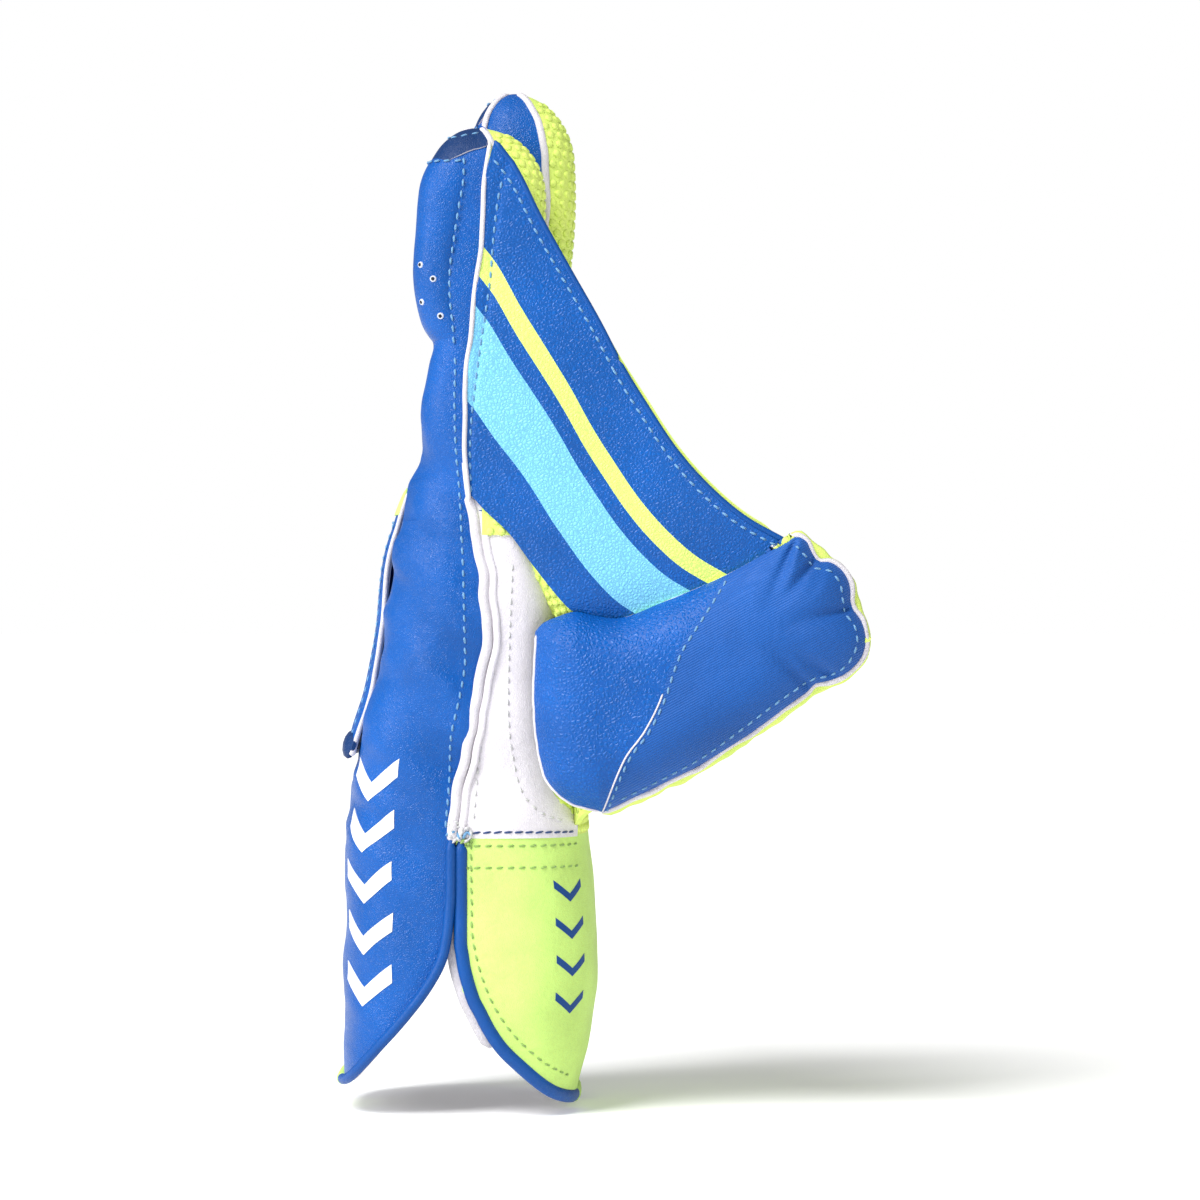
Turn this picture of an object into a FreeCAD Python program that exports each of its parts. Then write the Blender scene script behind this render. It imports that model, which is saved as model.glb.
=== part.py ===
import FreeCAD, Part
import math
import os

# Left-hand wicket-keeping glove. Millimetres, +Z towards the fingertips, +X out of the
# palm, -Y on the thumb side. The origin is the centre of the wrist opening.
# Every padded part is a nest of shells: an outer skin, what is under it, and a lining.

Vector = FreeCAD.Vector

# ------------------------------------------------------------------ driving dimensions
# Walls
skin = 1.8                  # leather or rubber outside of the hand, fingers and thumb
hand_padding = 4.2          # foam and cotton under the skin of the back and the palm
hand_lining_wall = 1.0
stall_lining_wall = 2.0     # towelling inside the fingers and the thumb
cup_wall = 1.2              # moulded fingertip and thumb-tip guards
moving_gap = 0.4            # between two parts that turn against each other
side_clearance = 1.6        # between the web and the sides of the hand and finger

# Hand
hand_length = 132.0         # wrist opening to the knuckle line
wrist_half_width = 46.0
wrist_back = 40.0           # back of the wrist, behind the origin
wrist_palm = 38.0           # heel of the palm, in front of the origin
heel_depth = 69.5           # front to back at the base of the thumb
mid_palm = 33.0
upper_palm = 27.0
hand_corner = 27.0          # rounding of the hand's section
elastic_height = 12.0
elastic_wall = 1.2

# Fingers
finger_width = 26.0
finger_depth = 33.0
finger_gap = 1.5
finger_front_shift = 5.0    # middle of a finger's foot, in front of the origin
finger_corner = 11.0
finger_dome = 22.0          # height of the rounded tip
roll_height = 4.5           # sausage pad on a finger's back
roll_width = 22.0
cup_height = 28.0
index_length = 95.0         # knuckle line to tip
middle_length = 109.0
ring_length = 100.0
little_length = 74.0
index_curl = 20.0           # degrees
finger_curl = 35.0
curl_spare = 3.0
flex_front = 6.0            # knuckle hinge, in front of the middle of a finger's foot

# Thumb
thumb_hinge_x = 50.0
thumb_hinge_z = 39.0
thumb_rise = 22.0           # degrees above +X
thumb_length = 84.0         # hinge to tip
thumb_base_radius = 30.0
thumb_base_width = 58.0
thumb_stall_width = 46.0
thumb_thickness = 29.0
thumb_corner = 13.0
thumb_mouth_x = 46.0        # the hand reaches the thumb behind this
thumb_hand_gap = 2.5        # between the thumb's palm side and the hand's cut edge

# Web
web_ply = 0.8
web_sag = 18.0              # how far the free edge bows in from its chord
web_edge_width = 5.0

# Cuff
cuff_length = 89.0
back_flap_length = 83.3
cuff_panel_wall = 1.5
cuff_padding = 2.0
cuff_lining_wall = 1.0
cuff_half_width = 48.0
flap_gap = 0.8              # between the two flaps' side edges
flap_open = 20.0            # degrees
piping_width = 4.5
piping_proud = 1.3
tag_half_width = 12.0
tag_neck = 1.2                # piping that runs on behind a tag

# Back guard
guard_low = 26.0
guard_half_width = 28.0
guard_foam_wall = 2.0
guard_cover_wall = 1.0
guard_clear = 0.5

# ------------------------------------------------------------------ worked-out places
finger_pitch = finger_width + finger_gap
knuckle_half_width = 1.5 * finger_pitch + finger_width / 2
finger_back_x = finger_front_shift - finger_depth / 2
finger_palm_x = finger_front_shift + finger_depth / 2
flex_x = finger_front_shift + flex_front
hand_wall = skin + hand_padding + hand_lining_wall
thumb_y = -knuckle_half_width - 2.75
thumb_palm_y = thumb_y + thumb_thickness / 2
mouth_y = thumb_palm_y + thumb_hand_gap
notch_x = thumb_hinge_x - thumb_base_radius - 0.8
web_index_y = -knuckle_half_width - side_clearance
web_thumb_y = web_index_y - 2 * web_ply - 0.8
cuff_wall = cuff_panel_wall + cuff_padding + cuff_lining_wall
back_flap_x = -3.6
palm_flap_x = back_flap_x + flap_gap
longest_flap = max(cuff_length, back_flap_length)
back_hinge_x = 2.0 - wrist_back
palm_hinge_x = wrist_palm - 2.0
guard_high = hand_length - 20.0
far = 300.0

# name, middle along Y, height of the tip, forward lean of the stall, curl in degrees
fingers = (
    ("index", -1.5 * finger_pitch, hand_length + index_length, -2.0, index_curl),
    ("middle", -0.5 * finger_pitch, hand_length + middle_length, 13.0, finger_curl),
    ("ring", 0.5 * finger_pitch, hand_length + ring_length, 9.0, finger_curl),
    ("little", 1.5 * finger_pitch, hand_length + little_length, 6.0, finger_curl),
)

# height, back x, palm x, half width of the hand's outside
heel_back = heel_depth / 2 - 2.25
hand_sections = (
    (0.0, -wrist_back, wrist_palm, wrist_half_width),
    (0.15 * hand_length, 3.0 - wrist_back, wrist_palm - 0.5, wrist_half_width + 2.0),
    (0.27 * hand_length, -heel_back, heel_depth - heel_back, wrist_half_width + 4.0),
    (0.57 * hand_length, -22.5, mid_palm, knuckle_half_width - 0.25),
    (0.83 * hand_length, -14.5, upper_palm, knuckle_half_width),
    (hand_length, finger_back_x - 1.0, finger_palm_x + 1.5, knuckle_half_width),
)

# depth below the wrist opening, back x, palm x, half width of the cuff's outside
cuff_sections = (
    (0.0, -wrist_back - 0.6, wrist_palm + 1.2, cuff_half_width - 2.0),
    (-20.0, -wrist_back, wrist_palm + 3.0, cuff_half_width - 1.0),
    (-48.0, -wrist_back, wrist_palm + 3.6, cuff_half_width),
    (-70.0, -wrist_back, wrist_palm + 0.6, cuff_half_width - 2.0),
    (-longest_flap - 3.0, -wrist_back, wrist_palm - 4.4, cuff_half_width - 6.0),
)

# distance along the thumb from its hinge, middle across, width, thickness, middle along Y
thumb_sections = (
    (0.0, 0.0, thumb_base_width, thumb_thickness, thumb_y),
    (0.38 * thumb_length, 4.7, thumb_stall_width + 3.5, thumb_thickness - 1.0, thumb_y - 1.0),
    (0.68 * thumb_length, 8.0, thumb_stall_width, thumb_thickness - 3.0, thumb_y - 3.0),
    (0.83 * thumb_length, 8.0, thumb_stall_width - 3.0, thumb_thickness - 5.0, thumb_y - 4.5),
    (0.94 * thumb_length, 6.5, thumb_stall_width - 15.0, thumb_thickness - 11.0, thumb_y - 4.5),
    (thumb_length, 5.0, thumb_stall_width - 32.0, thumb_thickness - 20.0, thumb_y - 4.5),
)


# ------------------------------------------------------------------ outlines and prisms
def on_side(point):
    """A point of the XZ plane as a vector."""
    return Vector(point[0], 0, point[1])


def straight(points):
    """Line edges through points of the XZ plane."""
    return [Part.LineSegment(on_side(a), on_side(b)).toShape() for a, b in zip(points, points[1:])]


def curve(points):
    """One smooth edge through points of the XZ plane."""
    spline = Part.BSplineCurve()
    spline.interpolate([on_side(point) for point in points])
    return [spline.toShape()]


def prism(edges, low_y=-far, high_y=far):
    """The solid between two Y planes over a closed outline in XZ."""
    face = Part.Face(Part.Wire(edges))
    face.translate(Vector(0, low_y, 0))
    return face.extrude(Vector(0, high_y - low_y, 0))


def polygon(points, low_y=-far, high_y=far):
    """A prism over straight sides."""
    return prism(straight(list(points) + [points[0]]), low_y, high_y)


def block(low, high):
    """A box from its lowest to its highest corner."""
    size = [b - a for a, b in zip(low, high)]
    return Part.makeBox(size[0], size[1], size[2], Vector(*low))


def shifted(points, distance):
    """The points of an open line moved sideways, to the left of its direction."""
    moved = []
    for number, point in enumerate(points):
        before = points[max(number - 1, 0)]
        after = points[min(number + 1, len(points) - 1)]
        along = (after[0] - before[0], after[1] - before[1])
        length = math.hypot(along[0], along[1])
        moved.append((point[0] - along[1] / length * distance, point[1] + along[0] / length * distance))
    return moved


def one(shape):
    """The single solid of a boolean's result, or all of them together."""
    return shape.Solids[0] if len(shape.Solids) == 1 else Part.makeCompound(shape.Solids)


# ------------------------------------------------------------------ rounded sections
def section(z, x0, x1, y0, y1, corner):
    """A closed wire at height z: a rectangle with rounded corners."""
    r = min(corner, 0.46 * (x1 - x0), 0.46 * (y1 - y0))
    bend = r * (1 - math.sqrt(0.5))
    corners = (
        ((x1 - r, y0), (x1 - bend, y0 + bend), (x1, y0 + r)),
        ((x1, y1 - r), (x1 - bend, y1 - bend), (x1 - r, y1)),
        ((x0 + r, y1), (x0 + bend, y1 - bend), (x0, y1 - r)),
        ((x0, y0 + r), (x0 + bend, y0 + bend), (x0 + r, y0)),
    )
    edges = []
    for number, (start, middle, end) in enumerate(corners):
        a, b, c = [Vector(x, y, z) for x, y in (start, middle, end)]
        following = corners[(number + 1) % 4][0]
        edges.append(Part.Arc(a, b, c).toShape())
        edges.append(Part.LineSegment(c, Vector(following[0], following[1], z)).toShape())
    return Part.Wire(edges)


def tube(sections, inset, corner):
    """A solid through sections of z, x0, x1 and half width, drawn in by inset."""
    wires = [
        section(z, x0 + inset, x1 - inset, inset - half, half - inset, corner - inset)
        for z, x0, x1, half in sections
    ]
    return Part.makeLoft(wires, True, True)


def shell(outside, inside):
    return outside.cut(inside)


# ------------------------------------------------------------------ hand
def hand_solid(inset):
    return tube(hand_sections, inset, hand_corner)


def notched(shape):
    """Takes away the thumb's mouth and the room for the fingers to curl."""
    top = thumb_hinge_z + thumb_base_radius + 14.0
    low = thumb_hinge_z - thumb_base_radius - 0.8
    mouth = block((notch_x, -far, low), (far, mouth_y, top))
    drop = math.tan(math.radians((finger_curl + curl_spare) / 2))
    curl_room = polygon((
        (flex_x, hand_length),
        (flex_x + far, hand_length - far * drop),
        (flex_x + far, hand_length + far),
        (flex_x, hand_length + far),
    ))
    return shape.cut(mouth).cut(curl_room)


def seam(shift):
    """The side seam of the hand, from the wrist up to the knuckles, moved along X."""
    stations = ((0.0, -3.2), (0.24, 1.6), (0.48, 6.4), (0.67, 4.8), (0.84, 0.0), (1.0, -1.0))
    return [(x + shift, share * hand_length) for share, x in stations]


def behind(points):
    """The prism behind a line that runs from the bottom to the top."""
    low = points[0]
    high = points[-1]
    start = [(-far, low[1] - 1.0), (low[0], low[1] - 1.0), low]
    end = [high, (high[0], high[1] + 1.0), (-far, high[1] + 1.0), (-far, low[1] - 1.0)]
    return prism(straight(start) + curve(points) + straight(end))


def make_hand():
    outer = notched(shell(hand_solid(0), hand_solid(skin)))
    middle = notched(shell(hand_solid(skin), hand_solid(skin + hand_padding)))
    inner = notched(shell(hand_solid(skin + hand_padding), hand_solid(hand_wall)))
    back_zone = behind(seam(0.0))
    side_zone = behind(seam(17.0)).cut(back_zone)
    sides = outer.common(side_zone)
    thumb_side = block((-far, -far, -far), (far, 0, far))
    band_low = 2.0
    band = shell(hand_solid(hand_wall), hand_solid(hand_wall + elastic_wall))
    band_zone = block((-far, -far, band_low), (far, far, band_low + elastic_height))
    return {
        "back_leather": outer.common(back_zone),
        "palm_rubber": outer.cut(back_zone).cut(side_zone),
        "thumb_gusset": sides.common(thumb_side),
        "side_gusset": sides.cut(thumb_side),
        "back_padding": middle.common(back_zone),
        "palm_padding": middle.cut(back_zone),
        "hand_lining": inner,
        "wrist_elastic": band.common(band_zone),
    }


# ------------------------------------------------------------------ fingers
def finger_middle(finger, z):
    """The middle of a finger along X at a height."""
    tip = finger[2]
    lean = finger[3]
    share = (z - hand_length) / (tip - hand_length)
    return finger_front_shift + lean * math.sin(0.72 * math.pi * share)


def finger_heights(finger):
    """Heights of the straight stretch of a stall, from the knuckle to the dome."""
    rise = finger[2] - finger_dome - hand_length
    return [hand_length + rise * step / 5 for step in range(6)]


def finger_solid(finger, inset):
    """A stall's outside drawn in by inset: a leaning tube under a rounded tip."""
    y = finger[1]
    tip = finger[2]
    dome_start = tip - finger_dome
    steepest = 78.0
    stations = [(z, 1.0) for z in finger_heights(finger)]
    for angle in (30.0, 55.0, steepest):
        rise = math.sin(math.radians(angle)) / math.sin(math.radians(steepest))
        stations.append((dome_start + (finger_dome - inset) * rise, math.cos(math.radians(angle))))
    wires = []
    for z, scale in stations:
        middle = finger_middle(finger, z)
        across = (finger_width / 2 - inset) * scale
        deep = (finger_depth / 2 - inset) * scale
        wires.append(section(
            z, middle - deep, middle + deep, y - across, y + across, (finger_corner - inset) * scale,
        ))
    return Part.makeLoft(wires, True, True)


def finger_strip(finger, low_x, high_x):
    """The prism between two lines that follow the finger's lean."""
    top = finger[2] + 1.0
    base = hand_length - 1.0
    heights = [base + (top - base) * step / 5 for step in range(6)]
    rear = [(finger_middle(finger, z) + low_x, z) for z in heights]
    front = [(finger_middle(finger, z) + high_x, z) for z in reversed(heights)]
    edges = curve(rear) + straight([rear[-1], front[0]]) + curve(front) + straight([front[-1], rear[0]])
    return prism(edges)


def finger_foot(finger):
    """What is taken off the foot of a stall so that it can curl."""
    rise = math.tan(math.radians((finger[4] + curl_spare) / 2))
    low = hand_length + moving_gap
    return polygon((
        (flex_x - far, low),
        (flex_x, low),
        (flex_x + far, low + far * rise),
        (flex_x + far, low - far),
        (flex_x - far, low - far),
    ))


def make_roll(finger, outside):
    """The sausage pad on a finger's back: a long swelling between two seams."""
    low = hand_length + 24.0
    high = finger[2] - 18.0
    wires = []
    for step in range(7):
        z = low + (high - low) * step / 6
        swell = 1.0 + (roll_height - 1.0) * math.sin(math.pi * step / 6) ** 0.6
        back = finger_middle(finger, z) - finger_depth / 2
        half = roll_width / 2
        wires.append(section(z, back - swell, back + 8.0, finger[1] - half, finger[1] + half, 7.0))
    return Part.makeLoft(wires, True, True).cut(outside)


def make_finger(finger):
    name = finger[0]
    outside = finger_solid(finger, 0)
    under = finger_solid(finger, skin)
    foot = finger_foot(finger)
    outer = shell(outside, under).cut(foot)
    back_edge = 0.0 if name == "index" else -11.0
    back_zone = finger_strip(finger, -far, back_edge)
    face_zone = finger_strip(finger, 9.0, far)
    tip_zone = finger_strip(finger, -far, 0.0).common(
        block((-far, -far, finger[2] - cup_height), (far, far, far)))
    cup = shell(under, finger_solid(finger, skin + cup_wall)).common(tip_zone)
    lining = shell(under, finger_solid(finger, skin + stall_lining_wall)).cut(foot).cut(cup)
    return {
        name + "_back": outer.common(back_zone),
        name + "_sides": outer.cut(back_zone).cut(face_zone),
        name + "_face": outer.common(face_zone),
        name + "_lining": lining,
        name + "_roll": make_roll(finger, outside),
        name + "_cup": cup,
    }


# ------------------------------------------------------------------ thumb
def thumb_point(along, across):
    """A point in XZ from distances along the thumb and across it, towards the fingers."""
    rise = math.radians(thumb_rise)
    return (
        thumb_hinge_x + along * math.cos(rise) - across * math.sin(rise),
        thumb_hinge_z + along * math.sin(rise) + across * math.cos(rise),
    )


def thumb_solid(inset):
    """The thumb's outside drawn in by inset: a round base, a stall and a blunt tip."""
    stations = []
    for angle in (75.0, 55.0, 30.0):
        along = -thumb_base_radius * math.sin(math.radians(angle))
        width = thumb_base_width * math.cos(math.radians(angle))
        stations.append((along + inset, 0.0, width, thumb_thickness, thumb_y))
    stations += thumb_sections[:-1]
    tip = thumb_sections[-1]
    stations.append((tip[0] - inset,) + tip[1:])
    wires = []
    for along, middle, width, thickness, y in stations:
        across = width / 2 - inset
        deep = thickness / 2 - inset
        wires.append(section(
            along, -middle - across, -middle + across, y - deep, y + deep, thumb_corner - inset,
        ))
    solid = Part.makeLoft(wires, True, True)
    solid.rotate(Vector(0, 0, 0), Vector(0, 1, 0), 90.0 - thumb_rise)
    solid.translate(Vector(thumb_hinge_x, 0, thumb_hinge_z))
    return solid


def make_thumb():
    outside = thumb_solid(0)
    under = thumb_solid(skin)
    outer = shell(outside, under)
    face_y = thumb_palm_y - 5.0
    face_zone = block((-far, face_y, -far), (far, far, far))
    mouth = block((-far, face_y, -far), (thumb_mouth_x, far, far))
    seam_low = thumb_point(-0.19 * thumb_length, -25.0)
    seam_high = thumb_point(0.54 * thumb_length, 27.0)
    run = (seam_high[0] - seam_low[0], seam_high[1] - seam_low[1])
    tip_zone = polygon((
        (seam_low[0] - 2 * run[0], seam_low[1] - 2 * run[1]),
        (seam_high[0] + 2 * run[0], seam_high[1] + 2 * run[1]),
        (far, seam_high[1] + 2 * run[1]),
        (far, seam_low[1] - 2 * run[1]),
    ))
    guard_line = thumb_point(0.58 * thumb_length, 0.0)
    guard_zone = block((guard_line[0], -far, -far), (far, thumb_y, far))
    cup = shell(under, thumb_solid(skin + cup_wall)).common(guard_zone)
    lining = shell(under, thumb_solid(skin + stall_lining_wall)).cut(mouth).cut(cup)
    panels = outer.cut(face_zone)
    return {
        "thumb_base_panel": panels.cut(tip_zone),
        "thumb_tip_panel": panels.common(tip_zone),
        "thumb_face": outer.common(face_zone).cut(mouth),
        "thumb_lining": lining,
        "thumb_cup": cup,
    }


# ------------------------------------------------------------------ web
def web_edge(start, end, share_low, share_high):
    """Points of the web's free edge: an even bow between the two tips."""
    run = (end[0] - start[0], end[1] - start[1])
    length = math.hypot(run[0], run[1])
    inward = (run[1] / length, -run[0] / length)
    points = []
    for step in range(4):
        share = share_low + (share_high - share_low) * step / 3
        bow = 4 * web_sag * share * (1 - share)
        points.append((
            start[0] + run[0] * share + inward[0] * bow,
            start[1] + run[1] * share + inward[1] * bow,
        ))
    return points


def make_leaf(name, edge, rest, y, cutter):
    """One half of the web: leather outside, rubber inside, and a bound free edge."""
    inner_edge = shifted(edge, -web_edge_width)
    body = curve(inner_edge) + straight([inner_edge[-1]] + rest + [inner_edge[0]])
    band = curve(edge) + straight([edge[-1], inner_edge[-1]])
    band += curve(list(reversed(inner_edge))) + straight([inner_edge[0], edge[0]])
    solids = {
        name + "_web_rubber": prism(body, y - web_ply, y),
        name + "_web_leather": prism(body, y - 2 * web_ply, y - web_ply),
        name + "_web_binding": prism(band, y - 2 * web_ply, y),
    }
    if cutter:
        solids = {node: shape.cut(cutter) for node, shape in solids.items()}
    return solids


def make_web():
    index = fingers[0]
    index_corner = (finger_middle(index, index[2]) + 7.5, index[2] - 2.0)
    thumb_corner_point = thumb_point(0.845 * thumb_length, 32.0)
    upper = web_edge(index_corner, thumb_corner_point, 0.0, 0.6)
    lower = web_edge(index_corner, thumb_corner_point, 0.56, 1.0)
    seam_x = finger_front_shift - 3.0
    crease = [thumb_point(0.8 * thumb_length, 22.0), thumb_point(-0.02 * thumb_length, 22.0)]
    hand_end = [thumb_point(-0.08 * thumb_length, 40.0), thumb_point(0.1 * thumb_length, 58.0)]
    index_rest = [
        thumb_point(0.4 * thumb_length, 56.0),
        thumb_point(0.14 * thumb_length, 44.0),
        (33.0, thumb_hinge_z + 41.0),
        (14.0, hand_length - 36.0),
        (seam_x, hand_length - 21.0),
        (seam_x, index[2] - 3.0),
    ]
    leaves = make_leaf("index", upper, index_rest, web_index_y, None)
    leaves.update(make_leaf("thumb", lower, crease + hand_end, web_thumb_y, thumb_solid(0)))
    welt_low = hand_length + 5.0
    welt_high = index[2] - finger_dome - 2.0
    leaves["index_web_welt"] = block(
        (seam_x - 1.0, web_index_y, welt_low), (seam_x + 4.0, -knuckle_half_width, welt_high))
    return leaves


# ------------------------------------------------------------------ cuff
def cuff_solid(inset):
    return tube(tuple(reversed(cuff_sections)), inset, hand_corner)


def flap_edge(side):
    """A flap's free edge in XZ, from the side edge at the top to its lowest point."""
    if side == "back":
        shares = ((0.0, 0.0), (0.0, 0.24), (0.035, 0.43), (0.17, 0.56), (0.4, 0.71), (0.68, 0.85), (1.0, 1.0))
        start, end, drop = back_flap_x, 1.8 - wrist_back, back_flap_length
    else:
        shares = ((0.0, 0.0), (0.0, 0.40), (0.12, 0.62), (0.28, 0.76), (0.62, 0.90), (1.0, 1.0))
        start, end, drop = palm_flap_x, wrist_palm - 3.0, cuff_length
    return [(start + (end - start) * across, -drop * down) for across, down in shares]


def flap_zone(side, inset):
    """The prism that a flap is cut with, its free edge drawn in by inset."""
    outward = -1.0 if side == "back" else 1.0
    edge = flap_edge(side)
    if inset:
        edge = shifted(edge, outward * inset)
        edge[0] = (edge[0][0], 0.0)
        edge[-1] = (edge[-1][0], edge[-1][1])
    outer_x = outward * far
    sides = [edge[-1], (outer_x, edge[-1][1]), (outer_x, 0.0), edge[0]]
    zone = prism(straight(edge[:2]) + curve(edge[1:]) + straight(sides))
    hinge = back_hinge_x if side == "back" else palm_hinge_x
    fall = math.tan(math.radians(flap_open + 2.0)) * far
    top = polygon((
        (hinge + outward * far, -moving_gap - fall),
        (hinge, -moving_gap),
        (hinge - outward * far, -moving_gap),
        (hinge - outward * far, far),
        (hinge + outward * far, far),
    ))
    return zone.cut(top)


def make_flap(side):
    name = "cuff_" + side
    whole = flap_zone(side, 0)
    field = flap_zone(side, piping_width)
    layers = [cuff_solid(0), cuff_solid(cuff_panel_wall), cuff_solid(cuff_panel_wall + cuff_padding)]
    inside = cuff_solid(cuff_wall)
    rim = shell(cuff_solid(-piping_proud), cuff_solid(cuff_wall + piping_proud))
    rim = rim.common(whole.cut(field))
    lowest = flap_edge(side)[-1][1]
    tag_top = lowest + piping_width - tag_neck
    tag_zone = block((-far, -tag_half_width, lowest - 1.0), (far, tag_half_width, tag_top))
    return {
        name + "_panel": shell(layers[0], layers[1]).common(field),
        name + "_padding": shell(layers[1], layers[2]).common(field),
        name + "_lining": shell(layers[2], inside).common(field),
        name + "_piping": rim.cut(tag_zone),
        name + "_tag": rim.common(tag_zone),
    }


# ------------------------------------------------------------------ back guard
def make_guard():
    """A padded shield over the back of the hand, hinged along its upper edge."""
    zone = block((-far, -guard_half_width, guard_low), (0, guard_half_width, guard_high))
    foam_zone = block(
        (-far, guard_cover_wall - guard_half_width, guard_low + guard_cover_wall),
        (0, guard_half_width - guard_cover_wall, guard_high - guard_cover_wall),
    )
    rest = hand_solid(-guard_clear)
    foam_top = hand_solid(-guard_clear - guard_foam_wall)
    top = hand_solid(-guard_clear - guard_foam_wall - guard_cover_wall)
    foam = shell(foam_top, rest).common(foam_zone)
    return {
        "guard_foam": foam,
        "guard_cover": shell(top, rest).common(zone).cut(foam),
    }


# ------------------------------------------------------------------ build
def main():
    os.makedirs("parts", exist_ok=True)
    nodes = {}
    nodes.update(make_hand())
    for finger in fingers:
        nodes.update(make_finger(finger))
    nodes.update(make_thumb())
    nodes.update(make_web())
    nodes.update(make_flap("back"))
    nodes.update(make_flap("palm"))
    nodes.update(make_guard())
    for node, shape in nodes.items():
        solid = one(shape)
        print(node, len(solid.Solids), solid.isValid(), round(solid.Volume))
        solid.exportStep("parts/%s.step" % node)


main()
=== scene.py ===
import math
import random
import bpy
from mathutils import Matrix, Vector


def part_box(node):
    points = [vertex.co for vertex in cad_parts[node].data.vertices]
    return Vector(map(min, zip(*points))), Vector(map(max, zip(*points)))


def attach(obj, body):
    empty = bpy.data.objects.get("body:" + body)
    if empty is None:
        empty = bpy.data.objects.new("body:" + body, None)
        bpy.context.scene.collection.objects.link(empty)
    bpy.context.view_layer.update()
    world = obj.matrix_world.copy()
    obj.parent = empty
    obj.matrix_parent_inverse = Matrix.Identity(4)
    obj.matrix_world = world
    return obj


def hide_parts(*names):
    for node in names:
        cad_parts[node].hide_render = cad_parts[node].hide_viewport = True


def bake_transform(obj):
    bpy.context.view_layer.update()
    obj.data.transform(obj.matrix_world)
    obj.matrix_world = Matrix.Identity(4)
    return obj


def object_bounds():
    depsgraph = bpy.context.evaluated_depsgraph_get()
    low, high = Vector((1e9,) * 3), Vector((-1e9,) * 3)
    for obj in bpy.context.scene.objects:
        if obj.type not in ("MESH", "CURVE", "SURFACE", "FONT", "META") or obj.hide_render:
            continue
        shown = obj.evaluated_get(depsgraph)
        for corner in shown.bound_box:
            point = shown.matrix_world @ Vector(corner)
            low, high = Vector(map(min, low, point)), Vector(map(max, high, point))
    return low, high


bl_info = {
    "name": "Wicket-keeping glove",
    "version": (1, 0, 0),
    "blender": (4, 5, 0),
    "location": "3D View > Sidebar > Glove",
    "description": "Builds the leather, rubber, thread and padding of a left-hand catching glove",
    "category": "Object",
}

import bmesh
import bpy
from mathutils import Vector, geometry, noise
from mathutils.bvhtree import BVHTree

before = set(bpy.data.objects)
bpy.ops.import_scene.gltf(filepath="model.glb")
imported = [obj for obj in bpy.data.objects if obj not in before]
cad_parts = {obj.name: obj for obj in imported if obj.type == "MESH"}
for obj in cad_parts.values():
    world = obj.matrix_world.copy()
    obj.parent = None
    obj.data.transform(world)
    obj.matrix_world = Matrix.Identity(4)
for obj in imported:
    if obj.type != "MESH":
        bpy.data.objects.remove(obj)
cad_low, cad_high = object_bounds()

# Lengths below are in millimetres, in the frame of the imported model: +Z to the fingertips,
# +X out of the palm, -Y on the thumb side, origin in the middle of the wrist opening.
MM = 0.001


def cad_box(node):
    """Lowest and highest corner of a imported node, in millimetres."""
    low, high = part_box(node)
    return low / MM, high / MM


# ------------------------------------------------------------------ places from the frame
FINGERS = ("index", "middle", "ring", "little")
KNUCKLE = cad_box("back_leather")[1].z
PITCH = cad_box("middle_roll")[0].y - cad_box("index_roll")[0].y
MIDDLE_Y = {name: sum(corner.y for corner in cad_box(name + "_roll")) / 2 for name in FINGERS}
TIP = {name: cad_box(name + "_sides")[1].z for name in FINGERS}
LEAN = {"index": -2.0, "middle": 13.0, "ring": 9.0, "little": 6.0}
SIDE = -cad_box("index_sides")[0].y
STALL_HALF = cad_box("index_sides")[1].y - MIDDLE_Y["index"]
STALL_DEEP = 16.5
FOOT_X = 5.0
DOME = 22.0
RAY_START = KNUCKLE - 34.0
CUFF_BACK_LOW = cad_box("cuff_back_piping")[0].z + 1.5
CUFF_PALM_LOW = cad_box("cuff_palm_piping")[0].z + 1.5

random.seed(7)


class GloveSizes(bpy.types.PropertyGroup):
    """Walls, thread and surface relief of the glove."""

    leather: bpy.props.FloatProperty(
        name="Leather", description="Wall of the leather panels", default=1.4 * MM, unit="LENGTH")
    rubber: bpy.props.FloatProperty(
        name="Rubber", description="Wall of the rubber faces", default=1.6 * MM, unit="LENGTH")
    raw_edge: bpy.props.FloatProperty(
        name="Raw edge", description="How far a cut white edge stands out of its seam",
        default=1.9 * MM, unit="LENGTH")
    piping: bpy.props.FloatProperty(
        name="Piping", description="Radius of the cuff's piping", default=2.3 * MM, unit="LENGTH")
    thread: bpy.props.FloatProperty(
        name="Thread", description="Radius of the sewing thread", default=0.42 * MM, unit="LENGTH")
    stitch: bpy.props.FloatProperty(
        name="Stitch", description="Length of one stitch", default=2.5 * MM, unit="LENGTH")
    stitch_gap: bpy.props.FloatProperty(
        name="Stitch gap", description="Space between two stitches", default=1.1 * MM, unit="LENGTH")
    pimple_pitch: bpy.props.FloatProperty(
        name="Pimple pitch", description="Distance between the rubber's pimples",
        default=3.7 * MM, unit="LENGTH")
    wrinkle: bpy.props.FloatProperty(
        name="Wrinkle", description="Depth of the soft folds in the leather",
        default=3.2 * MM, unit="LENGTH")


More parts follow.
